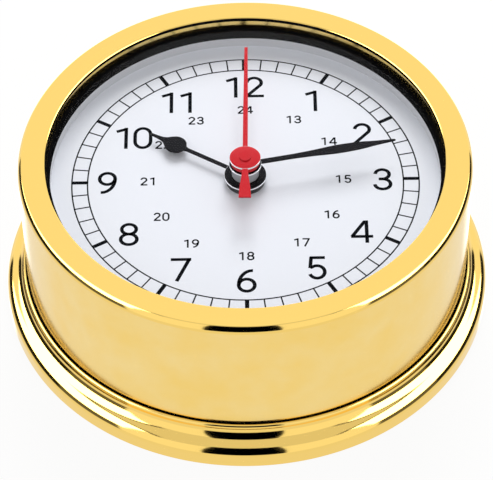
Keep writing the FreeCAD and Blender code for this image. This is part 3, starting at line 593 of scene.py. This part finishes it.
# Pieces
class CLOCK_OT_base_ring(bpy.types.Operator):
    """Turn the moulded ring round the drum's foot"""
    bl_idname = "clock.base_ring"
    bl_label = "Base ring"

    def execute(self, context):
        case = context.scene.clock_case
        turn = case.moulding_turn
        degrees = math.degrees(turn)
        bend = case.moulding_radius
        low_centre = (case.ring_radius - bend, case.ring_wall)
        high_centre = (low_centre[0] + 2.0 * bend * math.cos(turn),
                       low_centre[1] + 2.0 * bend * math.sin(turn))
        soft = RING_SOFT
        groove_outer = case.ring_bore + case.groove_width
        groove_foot = case.ring_height - case.groove_depth
        profile = [
            (case.ring_bore, case.cover_thickness),
            (case.recess_radius, case.cover_thickness),
            (case.recess_radius, 0.0),
            (case.ring_radius - soft, 0.0),
            (case.ring_radius, soft),
        ]
        profile += arc(low_centre, bend, bend, 0.0, degrees, MOULDING_STEPS)
        profile += arc(high_centre, bend, bend, 180.0 + degrees, 180.0, MOULDING_STEPS)[1:]
        shoulder = profile[-1][0]
        crest = case.crest_radius
        crest_centre = (shoulder - crest, case.ring_height - crest)
        profile += arc(crest_centre, crest, crest, 0.0, 90.0, CREST_STEPS)
        profile += [
            (groove_outer, case.ring_height),
            (groove_outer, groove_foot),
            (case.ring_bore, groove_foot),
        ]
        turned(profile)
        ring = finish_piece("base_ring_turned", "brass")
        # The groove's faces take the black ring's finish as painted shade in the gap
        give_finish(ring, "gasket_and_painted_dark", (case.ring_bore - soft, groove_outer + soft / 2),
                    (groove_foot - soft, case.ring_height - soft / 2))
        keep(ring, "case", "base_ring")
        return {"FINISHED"}


class CLOCK_OT_case_drum(bpy.types.Operator):
    """Turn the drum with its rounded front edge, bevel and glass seat"""
    bl_idname = "clock.case_drum"
    bl_label = "Case drum"

    def execute(self, context):
        case = context.scene.clock_case
        edge = case.drum_edge
        turn = case.edge_turn
        soft = FACE_SOFT
        crown = case.case_height - soft / 2
        corner = (case.drum_radius - edge, crown - edge * math.sin(turn))
        profile = [
            (case.drum_bore, case.cover_thickness),
            (case.drum_radius, case.cover_thickness),
            (case.drum_radius, case.ring_height - case.groove_depth),
        ]
        profile += arc(corner, edge, edge, 0.0, math.degrees(turn), EDGE_STEPS)
        profile += [
            (profile[-1][0] - soft, case.case_height),
            (case.bevel_radius + soft, case.case_height),
            (case.bevel_radius - soft / 2, case.case_height - soft / 2),
            (case.lip_radius, case.case_height - case.bevel_drop),
            (case.lip_radius, case.case_height - case.bevel_drop - case.painted_reflection_width),
            (case.lip_radius, case.seat_height),
            (case.opening_radius, case.seat_height),
            (case.opening_radius, case.lip_underside),
            (case.drum_bore, case.lip_underside),
        ]
        turned(profile)
        drum = finish_piece("case_drum_turned", "brass")
        self.finish_walls(drum, case)
        keep(drum, "case", "case_drum")
        return {"FINISHED"}

    def finish_walls(self, drum, case):
        """Blacken a band under the bevel as a painted dark reflection, blacken the glass seat, and
        give the walls their satin.
        """
        painted_reflection_top = case.case_height - case.bevel_drop
        painted_reflection_foot = painted_reflection_top - case.painted_reflection_width
        foot = case.ring_height - case.groove_depth
        lip = (case.lip_radius - NEAR, case.lip_radius + NEAR)
        wall = (case.drum_radius - NEAR, case.drum_radius + NEAR)
        seat = (case.lip_underside - NEAR / 2, case.seat_height + NEAR / 2)
        for finish, radii, heights in (
                # Painted dark reflection: a black band on the lip's wall under the bevel
                ("gasket_and_painted_dark", lip, (painted_reflection_foot, painted_reflection_top)),
                ("gasket_and_painted_dark", (0.0, lip[0]), seat),
                ("satin_brass", lip, (case.seat_height, painted_reflection_foot)),
                ("satin_brass", wall, (foot, case.case_height - case.drum_edge))):
            give_finish(drum, finish, radii, heights)


class CLOCK_OT_glass(bpy.types.Operator):
    """Turn the domed glass"""
    bl_idname = "clock.glass"
    bl_label = "Glass"

    def execute(self, context):
        case = context.scene.clock_case
        glass = context.scene.clock_glass
        seat = case.seat_height
        dome = glass.dome_radius
        outer = dome + glass.thickness
        centre = seat - math.sqrt(dome ** 2 - glass.foot_radius ** 2)
        inside = math.degrees(math.acos(glass.foot_radius / dome))
        outside = math.degrees(math.acos(glass.radius / outer))
        pole = math.degrees(math.acos(POLE_HOLE / dome))
        profile = arc((0.0, centre), dome, dome, pole, inside, DOME_STEPS)
        profile.append((glass.radius, seat))
        profile += arc((0.0, centre), outer, outer, outside, pole, DOME_STEPS)
        turned(profile, close=False)
        fill_open_rings()
        piece = finish_piece("glass_dome", "glass", even=False)
        keep(piece, "case", "glass")
        return {"FINISHED"}


class CLOCK_OT_inner_rings(bpy.types.Operator):
    """Turn the black ring and the pale ring between the lip and the dial"""
    bl_idname = "clock.inner_rings"
    bl_label = "Inner rings"

    def execute(self, context):
        case = context.scene.clock_case
        dial = context.scene.clock_dial
        for name, finish, slot, node, foot, top in (
                ("gasket_black_ring", "gasket_and_painted_dark", "gasket_black", "gasket_ring",
                 case.gasket_foot, case.lip_underside),
                ("rehaut_pale_ring", "rehaut", "rehaut_pale", "rehaut_ring",
                 dial.top, case.gasket_foot)):
            turned([
                (case.opening_radius, foot),
                (case.stack_radius, foot),
                (case.stack_radius, top),
                (case.opening_radius + RING_SOFT, top),
                (case.opening_radius, top - RING_SOFT),
            ])
            ring = finish_piece(name, finish)
            keep(ring, "case", node)
        return {"FINISHED"}


# Lines of each figure, as corners on a grid ten high: "arc" gives a centre, two radii and the
# angles that it runs between; the nine is the six turned by half a turn
FIGURE_LINES = {
    "0": ([("arc", 3.27, 6.6, 2.66, 3.0, 0, 180), ("arc", 3.27, 3.4, 2.66, 3.0, 180, 360),
           (5.93, 6.6)],),
    "1": ([(3.28, 10.0), (3.28, 0.0)], [(0.0, 8.15), (3.6, 9.45)]),
    "2": ([("arc", 3.25, 7.15, 2.5, 2.4, 175, -30), (0.75, 0.75)], [(0.2, 0.6), (6.6, 0.6)]),
    "3": ([("arc", 3.15, 7.4, 2.35, 2.17, 175, -90), (1.9, 5.23)],
          [(2.4, 5.2), ("arc", 3.15, 2.88, 2.65, 2.33, 90, -178)]),
    "4": ([(5.35, 10.0), (5.35, 0.0)], [(4.9, 9.75), (0.35, 2.75)], [(0.1, 2.85), (7.4, 2.85)]),
    "5": ([(1.15, 9.4), (6.1, 9.4)], [(1.6, 9.7), (1.15, 4.85)],
          [(1.15, 4.95), ("arc", 3.4, 3.15, 2.5, 2.72, 125, -160)]),
    "6": ([("arc", 3.35, 3.15, 2.62, 2.62, 0, 360)],
          [("arc", 5.2, 3.3, 4.47, 6.15, 180, 90), (5.45, 9.45)]),
    "7": ([(0.0, 9.4), (6.75, 9.4)], [(6.2, 9.7), (2.0, -0.1)]),
    "8": ([("arc", 3.3, 7.35, 2.4, 2.2, 0, 360)], [("arc", 3.3, 2.85, 2.68, 2.35, 0, 360)]),
}
FIGURE_GRID = 10.0
HALF_TURN_OF_SIX = (6.55, 10.0)

# Each figure with the place of its left foot in millimetres from the dial's middle
LARGE_FIGURES = (
    ("1", -4.5, 28.65), ("2", 0.15, 28.65), ("1", 15.29, 23.5), ("2", 26.6, 11.75),
    ("3", 31.0, -3.8), ("4", 24.93, -20.85), ("5", 14.15, -32.15), ("6", -2.43, -36.0),
    ("7", -17.93, -32.15), ("8", -30.36, -20.75), ("9", -35.86, -3.7), ("1", -31.64, 11.35),
    ("0", -27.5, 11.35), ("1", -20.57, 23.5), ("1", -15.93, 23.5),
)
SMALL_FIGURES = (
    ("1", 10.43, 19.36), ("3", 12.33, 19.36), ("1", 18.86, 11.7), ("4", 20.75, 11.7),
    ("1", 22.0, -1.14), ("5", 24.0, -1.14), ("1", 18.93, -12.79), ("6", 20.79, -12.79),
    ("1", 11.43, -21.71), ("7", 13.4, -21.71), ("1", -1.71, -25.86), ("8", 0.17, -25.86),
    ("1", -14.75, -21.64), ("9", -12.9, -21.6), ("2", -22.14, -12.82), ("0", -20.04, -12.82),
    ("2", -25.5, -1.1), ("1", -23.14, -1.1), ("2", -22.07, 11.2), ("2", -20.0, 11.2),
    ("2", -13.93, 19.4), ("3", -11.79, 19.4), ("2", -1.71, 22.95), ("4", 0.2, 22.95),
)
# Widest step in degrees of an arc in a figure, and how far a sharp corner may reach out
ARC_STEP = 12.0
LEAST_MITRE = 0.5


def line_corners(line):
    """Every corner of a figure's line, with its arcs written out."""
    corners = []
    for corner in line:
        if corner[0] != "arc":
            corners.append(corner)
            continue
        across, up, wide, high, start, end = corner[1:]
        steps = math.ceil(abs(end - start) / ARC_STEP)
        corners += arc((across, up), wide, high, start, end, steps)
    return corners


def draw_line(corners, width):
    """A flat ribbon of one width, extruded from corner to corner."""
    deselect()
    places = [Vector((x, y, 0.0)) for x, y in corners]
    legs = [(b - a).normalized() for a, b in zip(places, places[1:])]
    closed = (places[0] - places[-1]).length < WELD
    around = [legs[-1 if closed else 0], *legs, legs[0 if closed else -1]]
    sides = [across_corner(leg, following, width) for leg, following in zip(around, around[1:])]
    bpy.ops.mesh.primitive_plane_add(size=1.0)
    bpy.ops.object.mode_set(mode="EDIT")
    bpy.ops.mesh.select_mode(type="VERT")
    bpy.ops.mesh.select_all(action="DESELECT")
    mesh = bmesh.from_edit_mesh(bpy.context.object.data)
    mesh.verts.ensure_lookup_table()
    pairs = ((mesh.verts[0], mesh.verts[1]), (mesh.verts[2], mesh.verts[3]))
    for pair, place, side in zip(pairs, places, sides):
        pair[0].co = place + side
        pair[1].co = place - side
    for vertex in pairs[1]:
        vertex.select_set(True)
    mesh.select_flush_mode()
    bmesh.update_edit_mesh(bpy.context.object.data)
    for index in range(2, len(places)):
        place, side, last = places[index], sides[index], sides[index - 1]
        extrude_edges(place - places[index - 1])
        turn = last.to_2d().angle_signed(side.to_2d())
        grow = side.length / last.length
        bpy.ops.transform.rotate(value=turn, orient_axis="Z", center_override=place)
        bpy.ops.transform.resize(value=(grow, grow, 1.0), center_override=place)
    bpy.ops.mesh.select_all(action="SELECT")
    bpy.ops.mesh.remove_doubles(threshold=FIGURE_WELD)
    leave_edit()
    return bpy.context.object


def across_corner(leg, following, width):
    """Half the ribbon's width at a corner, at right angles to its mean direction."""
    mean = (leg + following).normalized()
    half = width / 2 / max(LEAST_MITRE, mean.dot(leg))
    return Vector((-mean.y, mean.x, 0.0)) * half


def model_figure(character, width):
    """One figure as a flat mesh of height one, with its corner at the origin."""
    source = "6" if character == "9" else character
    lines = [draw_line(line_corners(line), width) for line in FIGURE_LINES[source]]
    figure = join(lines)
    if character == "9":
        figure.rotation_euler = (0.0, 0.0, math.pi)
        figure.location = (*HALF_TURN_OF_SIX, 0.0)
        bpy.ops.object.transform_apply()
    figure.scale = (1.0 / FIGURE_GRID, 1.0 / FIGURE_GRID, 1.0)
    bpy.ops.object.transform_apply()
    figure.name = "figure_" + character
    return figure


def copy_figure(figure, across, up, height):
    """A copy of a figure, with its own mesh, at its place and size."""
    select_only(figure)
    bpy.ops.object.duplicate(linked=False)
    copy = bpy.context.object
    copy.location = (across, up, 0.0)
    copy.scale = (height, height, 1.0)
    bpy.ops.object.transform_apply()
    return copy


class CLOCK_OT_dial(bpy.types.Operator):
    """Turn the dial plate and print its track and figures"""
    bl_idname = "clock.dial"
    bl_label = "Dial"

    def execute(self, context):
        case = context.scene.clock_case
        dial = context.scene.clock_dial
        turned([
            (dial.bore, dial.back),
            (case.stack_radius, dial.back),
            (case.stack_radius, dial.top),
            (dial.bore, dial.top),
        ])
        plate = finish_piece("dial_plate_white", "dial")
        keep(plate, "case", "dial_plate")
        self.print_dial(dial)
        return {"FINISHED"}

    def print_dial(self, dial):
        parts = self.track(dial)
        for places, height, line in (
                (LARGE_FIGURES, dial.figure_height, dial.figure_line),
                (SMALL_FIGURES, dial.small_height, dial.small_line)):
            width = line * FIGURE_GRID
            figures = {character: model_figure(character, width) for character in "0123456789"}
            for character, across, up in places:
                parts.append(copy_figure(figures[character], across * MM, up * MM, height))
            select_only(*figures.values())
            bpy.ops.object.delete()
        join(parts)
        edit_all()
        bpy.ops.transform.translate(value=(0.0, 0.0, dial.top + INK_GAP))
        extrude_faces(dial.ink_height)
        leave_edit()
        ink = finish_piece("dial_print", "ink", even=False)
        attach(ink, "case")

    def track(self, dial):
        """Two circles and the minute and hour lines between them, flat at height zero."""
        parts = []
        half = dial.track_line / 2
        for radius in (dial.track_inner, dial.track_outer):
            turned([(radius - half, 0.0), (radius + half, 0.0)], close=False)
            parts.append(bpy.context.object)
        for minute in range(60):
            width = dial.track_line if minute % 5 else dial.hour_line
            middle = (dial.track_inner + dial.track_outer) / 2
            reach = dial.track_outer - dial.track_inner - 2 * half
            turn = -MINUTE_TURN * minute
            deselect()
            bpy.ops.mesh.primitive_plane_add(size=1.0)
            line = bpy.context.object
            line.scale = (width, reach, 1.0)
            line.rotation_euler = (0.0, 0.0, turn)
            line.location = (-middle * math.sin(turn), middle * math.cos(turn), 0.0)
            bpy.ops.object.transform_apply()
            parts.append(line)
        return parts


# Reach and full width of each hand in millimetres, from the middle outwards
HOUR_ROWS = (
    (4.0, 1.0), (16.6, 1.0), (17.3, 1.4), (18.0, 3.7), (18.8, 4.85), (19.7, 5.35), (20.5, 5.3),
    (21.3, 4.75), (22.1, 3.6), (23.0, 2.0), (24.0, 1.15), (25.2, 0.85), (27.3, 0.55),
)
MINUTE_ROWS = (
    (3.0, 1.35), (12.0, 1.4), (14.0, 1.55), (16.0, 1.7), (18.0, 1.95), (20.0, 2.3),
    (22.3, 2.6), (24.5, 2.65), (27.0, 2.5), (28.5, 2.3), (30.0, 2.0), (31.5, 1.55),
    (33.0, 1.2), (35.0, 0.85), (36.8, 0.6), (37.4, 0.3),
)
SECOND_ROWS = ((-3.0, 1.25), (6.0, 1.2), (18.0, 1.15), (24.0, 1.05), (30.0, 0.95), (38.25, 0.82))
TAIL_ROWS = ((3.0, 1.35), (4.0, 1.4), (6.0, 1.7), (8.0, 2.2), (10.0, 2.65), (13.0, 3.0))


def hand_arm(rows, top, hands):
    """An arm whose face lies a hair below its hub's."""
    rows = [(reach * MM, width * MM) for reach, width in rows]
    return drawn_arm(rows, top - hands.sink, hands.thickness - hands.sink, hands.edge)


def finish_hand(name, finish, radius, top, hands):
    """Finish a hand and leave the upper rim of its hub bare metal."""
    hand = finish_piece(name + "_" + finish, "hand_" + finish)
    give_finish(hand, "chrome", (radius - NEAR, radius + NEAR), (top - hands.bare_rim, top))
    keep(hand, name.split("_")[0], name)


class CLOCK_OT_black_hands(bpy.types.Operator):
    """Draw the hour hand and the minute hand with their hubs, and turn the tube between them"""
    bl_idname = "clock.black_hands"
    bl_label = "Black hands"

    def execute(self, context):
        hands = context.scene.clock_hands
        for name, rows, top, radius, bore, bearing in (
                ("hour_hand", HOUR_ROWS, hands.hour_level, hands.hour_hub, hands.hour_bore,
                 hands.hour_bearing),
                ("minute_hand", MINUTE_ROWS, hands.minute_level, hands.minute_hub,
                 hands.minute_bore, hands.minute_bearing)):
            foot = top - hands.thickness
            arm = hand_arm(rows, top, hands)
            hub = hub_piece(radius, bore, top, foot, hands.edge)
            turn_to(join([arm, hub]), bearing)
            finish_hand(name, "black", radius, top, hands)
        low = hands.hour_level + hands.bush_gap
        hub_piece(hands.bush_radius, hands.minute_bore, foot, low, hands.edge)
        bush = finish_piece("minute_bush_grey", "tube_grey")
        keep(bush, "minute", "minute_bush")
        return {"FINISHED"}


class CLOCK_OT_second_hand(bpy.types.Operator):
    """Draw the second hand with its tail, disc and pin, and turn its bush"""
    bl_idname = "clock.second_hand"
    bl_label = "Second hand"

    def execute(self, context):
        hands = context.scene.clock_hands
        top = hands.second_level
        arm = hand_arm(SECOND_ROWS, top, hands)
        tail = hand_arm(TAIL_ROWS, top, hands)
        turn_to(tail, math.pi)
        disc = self.disc(hands, top, top - hands.thickness)
        turn_to(join([arm, tail, disc]), hands.second_bearing)
        finish_hand("second_hand", "red", hands.second_disc, top, hands)
        cad_low, cad_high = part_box("second_bush")
        hub_piece(hands.second_bush, hands.second_bore, cad_high[2], cad_low[2], hands.edge)
        bush = finish_piece("second_bush_red", "hand_red")
        keep(bush, "second", "second_bush")
        return {"FINISHED"}

    def disc(self, hands, top, foot):
        """A round disc with a pin on it."""
        edge = hands.edge
        pin = hands.second_boss
        crown = top + hands.boss_height
        profile = [(DISC_HOLE, foot), *hub_rim(hands.second_disc, top, foot, edge)]
        profile += [(pin, top), (pin, crown - edge), (pin - edge, crown), (DISC_HOLE, crown)]
        turned(profile, sides=HUB_SIDES, close=False)
        fill_open_rings()
        return bpy.context.object


# Finish of each node that keeps its construction mesh: colour, roughness and metal
NYLON = ((0.75, 0.75, 0.73), 0.45, 0.0)
IVORY = ((0.78, 0.78, 0.76), 0.45, 0.0)
WHEEL_BRASS = ((0.8, 0.6, 0.26), 0.3, 1.0)
BLACK_PLASTIC = ((0.03, 0.03, 0.03), 0.5, 0.0)
NODE_FINISHES = {
    "dial_support": ((0.03, 0.03, 0.03), 0.55, 0.0),
    "rear_cover": ((0.03, 0.03, 0.031), 0.6, 0.0),
    "cover_screws": ((0.62, 0.61, 0.6), 0.32, 1.0),
    "front_housing": BLACK_PLASTIC,
    "rear_housing": ((0.035, 0.035, 0.035), 0.5, 0.0),
    "rubber_washer": ((0.03, 0.03, 0.03), 0.8, 0.0),
    "dial_nut": ((0.02, 0.02, 0.02), 0.4, 0.0),
    "battery": ((0.3, 0.32, 0.35), 0.35, 0.6),
    "contact_plus": ((0.7, 0.7, 0.69), 0.3, 1.0),
    "contact_minus": ((0.66, 0.66, 0.65), 0.3, 1.0),
    "circuit_board": ((0.02, 0.16, 0.07), 0.35, 0.0),
    "chip_cap": ((0.015, 0.015, 0.015), 0.25, 0.0),
    "crystal_can": ((0.72, 0.72, 0.71), 0.22, 1.0),
    "stator": ((0.5, 0.5, 0.51), 0.4, 1.0),
    "coil_bobbin": IVORY,
    "coil_winding": ((0.72, 0.3, 0.12), 0.3, 1.0),
    "train_plate": IVORY,
    "centre_wheel": WHEEL_BRASS,
    "hour_collar": WHEEL_BRASS,
    "hour_wheel": WHEEL_BRASS,
    "seconds_arbor": ((0.6, 0.6, 0.6), 0.25, 1.0),
    "seconds_wheel": NYLON,
    "motion_wheel": NYLON,
    "setting_knob": BLACK_PLASTIC,
    "third_wheel": NYLON,
    "third_pinion": NYLON,
    "fifth_wheel": NYLON,
    "fifth_pinion": NYLON,
    "rotor_magnet": ((0.1, 0.1, 0.11), 0.35, 0.8),
    "rotor_pinion": NYLON,
}
MATERIALS = {}


class CLOCK_OT_finishes(bpy.types.Operator):
    """Make the finishes and give the construction nodes theirs"""
    bl_idname = "clock.finishes"
    bl_label = "Finishes"

    def execute(self, context):
        case = context.scene.clock_case
        dial = context.scene.clock_dial
        hands = context.scene.clock_hands
        builders = {
            "brass": polished_brass,
            "satin_brass": satin_brass,
            "glass": clear_glass,
            "gasket_and_painted_dark": plain_finish(case.gasket_and_painted_dark, 0.35, shine=0.0),
            "rehaut": plain_finish(case.rehaut, 0.5, spread=0.03),
            "dial": plain_finish(dial.white, 0.45, spread=0.01),
            "ink": plain_finish(dial.ink, 0.5, shine=0.0),
            "hand_black": plain_finish(hands.black, 0.22, spread=0.04, shine=0.08),
            "hand_red": plain_finish(hands.red, 0.3, spread=0.04, shine=0.2),
            "chrome": plain_finish(hands.chrome, 0.16, metallic=1.0, spread=0.04),
            "tube_grey": plain_finish(hands.tube, 0.4, spread=0.06),
        }
        for name, build in builders.items():
            MATERIALS[name] = new_material(name, build)
        for name, (tint, roughness, metallic) in NODE_FINISHES.items():
            finish = new_material(name, plain_finish(tint, roughness, metallic))
            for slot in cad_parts[name].material_slots:
                slot.material = finish
        return {"FINISHED"}


class CLOCK_OT_stage(bpy.types.Operator):
    """Set the floor, the studio light and the camera"""
    bl_idname = "clock.stage"
    bl_label = "Stage"

    def execute(self, context):
        stage = context.scene.clock_stage
        self.add_floor(stage)
        self.add_lamp(stage)
        self.light_studio(context.scene, stage)
        self.add_camera(context.scene, stage)
        context.scene.view_settings.view_transform = "Standard"
        return {"FINISHED"}

    def add_floor(self, stage):
        deselect()
        bpy.ops.mesh.primitive_plane_add(size=stage.floor_size)
        floor = bpy.context.object
        floor.name = "floor"
        floor.visible_glossy = False
        floor.data.materials.append(new_material("floor", self.white_floor))

    def white_floor(self, maker):
        """Pale floor that the camera sees as nearly white, with a faint shadow."""
        stage = bpy.context.scene.clock_stage
        lit = surface(maker, Base_Color=solid(stage.floor), Roughness=0.9, Specular_IOR_Level=0.0)
        white = maker.node("ShaderNodeEmission", inputs={"Color": WHITE})
        return maker.mix_shaders(maker.ray("Is Camera Ray") * stage.floor_white, lit, white)

    def add_lamp(self, stage):
        bpy.ops.object.light_add(type="AREA", location=stage.lamp_place)
        lamp = bpy.context.object
        lamp.name = "soft_lamp"
        lamp.data.shape = "DISK"
        lamp.data.size = stage.lamp_size
        lamp.data.energy = stage.lamp_power
        lamp.visible_glossy = False
        lamp.rotation_euler = stage.lamp_aim.to_track_quat("-Z", "Y").to_euler()

    def light_studio(self, scene, stage):
        """Even light, and round it a studio that only metal and glass mirror."""
        world = bpy.data.worlds.new("studio")
        scene.world = world
        world.use_nodes = True
        maker = Maker(world.node_tree)
        mirrored = self.zones(maker, stage)
        # What metal has mirrored twice is no brighter than the walls
        twice = maker.ray("Ray Depth").above(2.5, 0.1)
        mirrored = self.paint(mirrored, twice, mirrored.sum("MINIMUM", stage.back))
        camera = maker.ray("Is Camera Ray")
        even = camera + (1.0 - camera) * stage.sky
        shown = self.paint(even, maker.ray("Is Glossy Ray"), mirrored)
        background = maker.node("ShaderNodeBackground", inputs={"Color": WHITE, "Strength": shown})
        maker.show(background, "ShaderNodeOutputWorld")
        world.cycles.sampling_method = "NONE"

    def paint(self, under, mask, brightness):
        """One brightness laid over another where the mask is 1."""
        return mask * brightness + (1.0 - mask) * under

    def zones(self, maker, stage):
        """Brightness of the studio by direction in degrees, painted zone over zone.

        round_front turns from the front towards the right, side is the same without its sign,
        height rises from the level, and over climbs from the front over the top to the back.
        """
        direction = maker.node("ShaderNodeTexCoord", output="Generated")
        x, y, z = (maker.node("ShaderNodeSeparateXYZ", inputs={0: direction}, output=axis)
                   for axis in range(3))
        degree = math.degrees(1.0)
        round_front = x.sum("ARCTAN2", -y) * degree
        over = z.sum("ARCTAN2", -y) * degree
        height = z.sum("ARCSINE") * degree
        side = abs(round_front)
        sideways = abs(x)

        table = height.below(-15.0, 8.0)
        backdrop = side.above(155.0, 12.0) * height.below(20.0, 12.0)
        ceiling = sideways.below(0.5, 0.02) * over.between(48.0, 118.0, 3.0)
        panels = side.between(51.0, 128.0, 1.5) * height.above(11.0, 2.0)
        panels = panels * sideways.above(0.51, 0.02)
        edge_line = sideways.between(0.455, 0.505, 0.03) * side.between(42.0, 122.0, 4.0)
        edge_line = edge_line * height.above(30.0, 6.0)
        gap = side.between(53.0, 134.0, 1.5) * height.above(-18.0, 5.0)
        gap = gap * height.below(12.0, 2.0)
        gap = gap * (stage.gap_front + side.above(82.0, 1.5) * stage.gap_rest)
        card = round_front.between(-18.5, 14.5, 1.0) * height.above(-14.0, 4.0)
        card = card * over.below(53.0, 3.0)

        bright = stage.back
        for mask, brightness in (
                (table, stage.table),
                (backdrop, stage.backdrop),
                (ceiling, stage.ceiling),
                (panels, stage.panel),
                (edge_line, stage.edge_line),
                (gap, 0.0),
                (card, stage.card)):
            bright = self.paint(bright, mask, brightness)
        return bright

    def add_camera(self, scene, stage):
        bpy.ops.object.camera_add(location=stage.camera_place, rotation=stage.camera_turn)
        camera = bpy.context.object
        camera.name = "camera"
        camera.data.lens = stage.lens
        camera.data.sensor_width = 36.0
        camera.data.clip_start = 0.01
        scene.camera = camera


OPERATORS = (
    CLOCK_OT_finishes,
    CLOCK_OT_base_ring,
    CLOCK_OT_case_drum,
    CLOCK_OT_inner_rings,
    CLOCK_OT_dial,
    CLOCK_OT_black_hands,
    CLOCK_OT_second_hand,
    CLOCK_OT_glass,
    CLOCK_OT_stage,
)


class CLOCK_PT_panel(bpy.types.Panel):
    """The clock's settings and steps"""
    bl_idname = "CLOCK_PT_panel"
    bl_label = "Clock"
    bl_space_type = "VIEW_3D"
    bl_region_type = "UI"
    bl_category = "Clock"

    def draw(self, context):
        for operator in OPERATORS:
            self.layout.operator(operator.bl_idname)
        for name, group in GROUPS:
            box = self.layout.box()
            settings = getattr(context.scene, name)
            for setting in group.__annotations__:
                box.prop(settings, setting)


def register():
    for name, group in GROUPS:
        bpy.utils.register_class(group)
        setattr(bpy.types.Scene, name, bpy.props.PointerProperty(type=group))
    for operator in OPERATORS:
        bpy.utils.register_class(operator)
    bpy.utils.register_class(CLOCK_PT_panel)


def unregister():
    bpy.utils.unregister_class(CLOCK_PT_panel)
    for operator in reversed(OPERATORS):
        bpy.utils.unregister_class(operator)
    for name, group in reversed(GROUPS):
        delattr(bpy.types.Scene, name)
        bpy.utils.unregister_class(group)


def main():
    register()
    for operator in OPERATORS:
        family, step = operator.bl_idname.split(".")
        getattr(getattr(bpy.ops, family), step)()


if __name__ == "__main__":
    main()
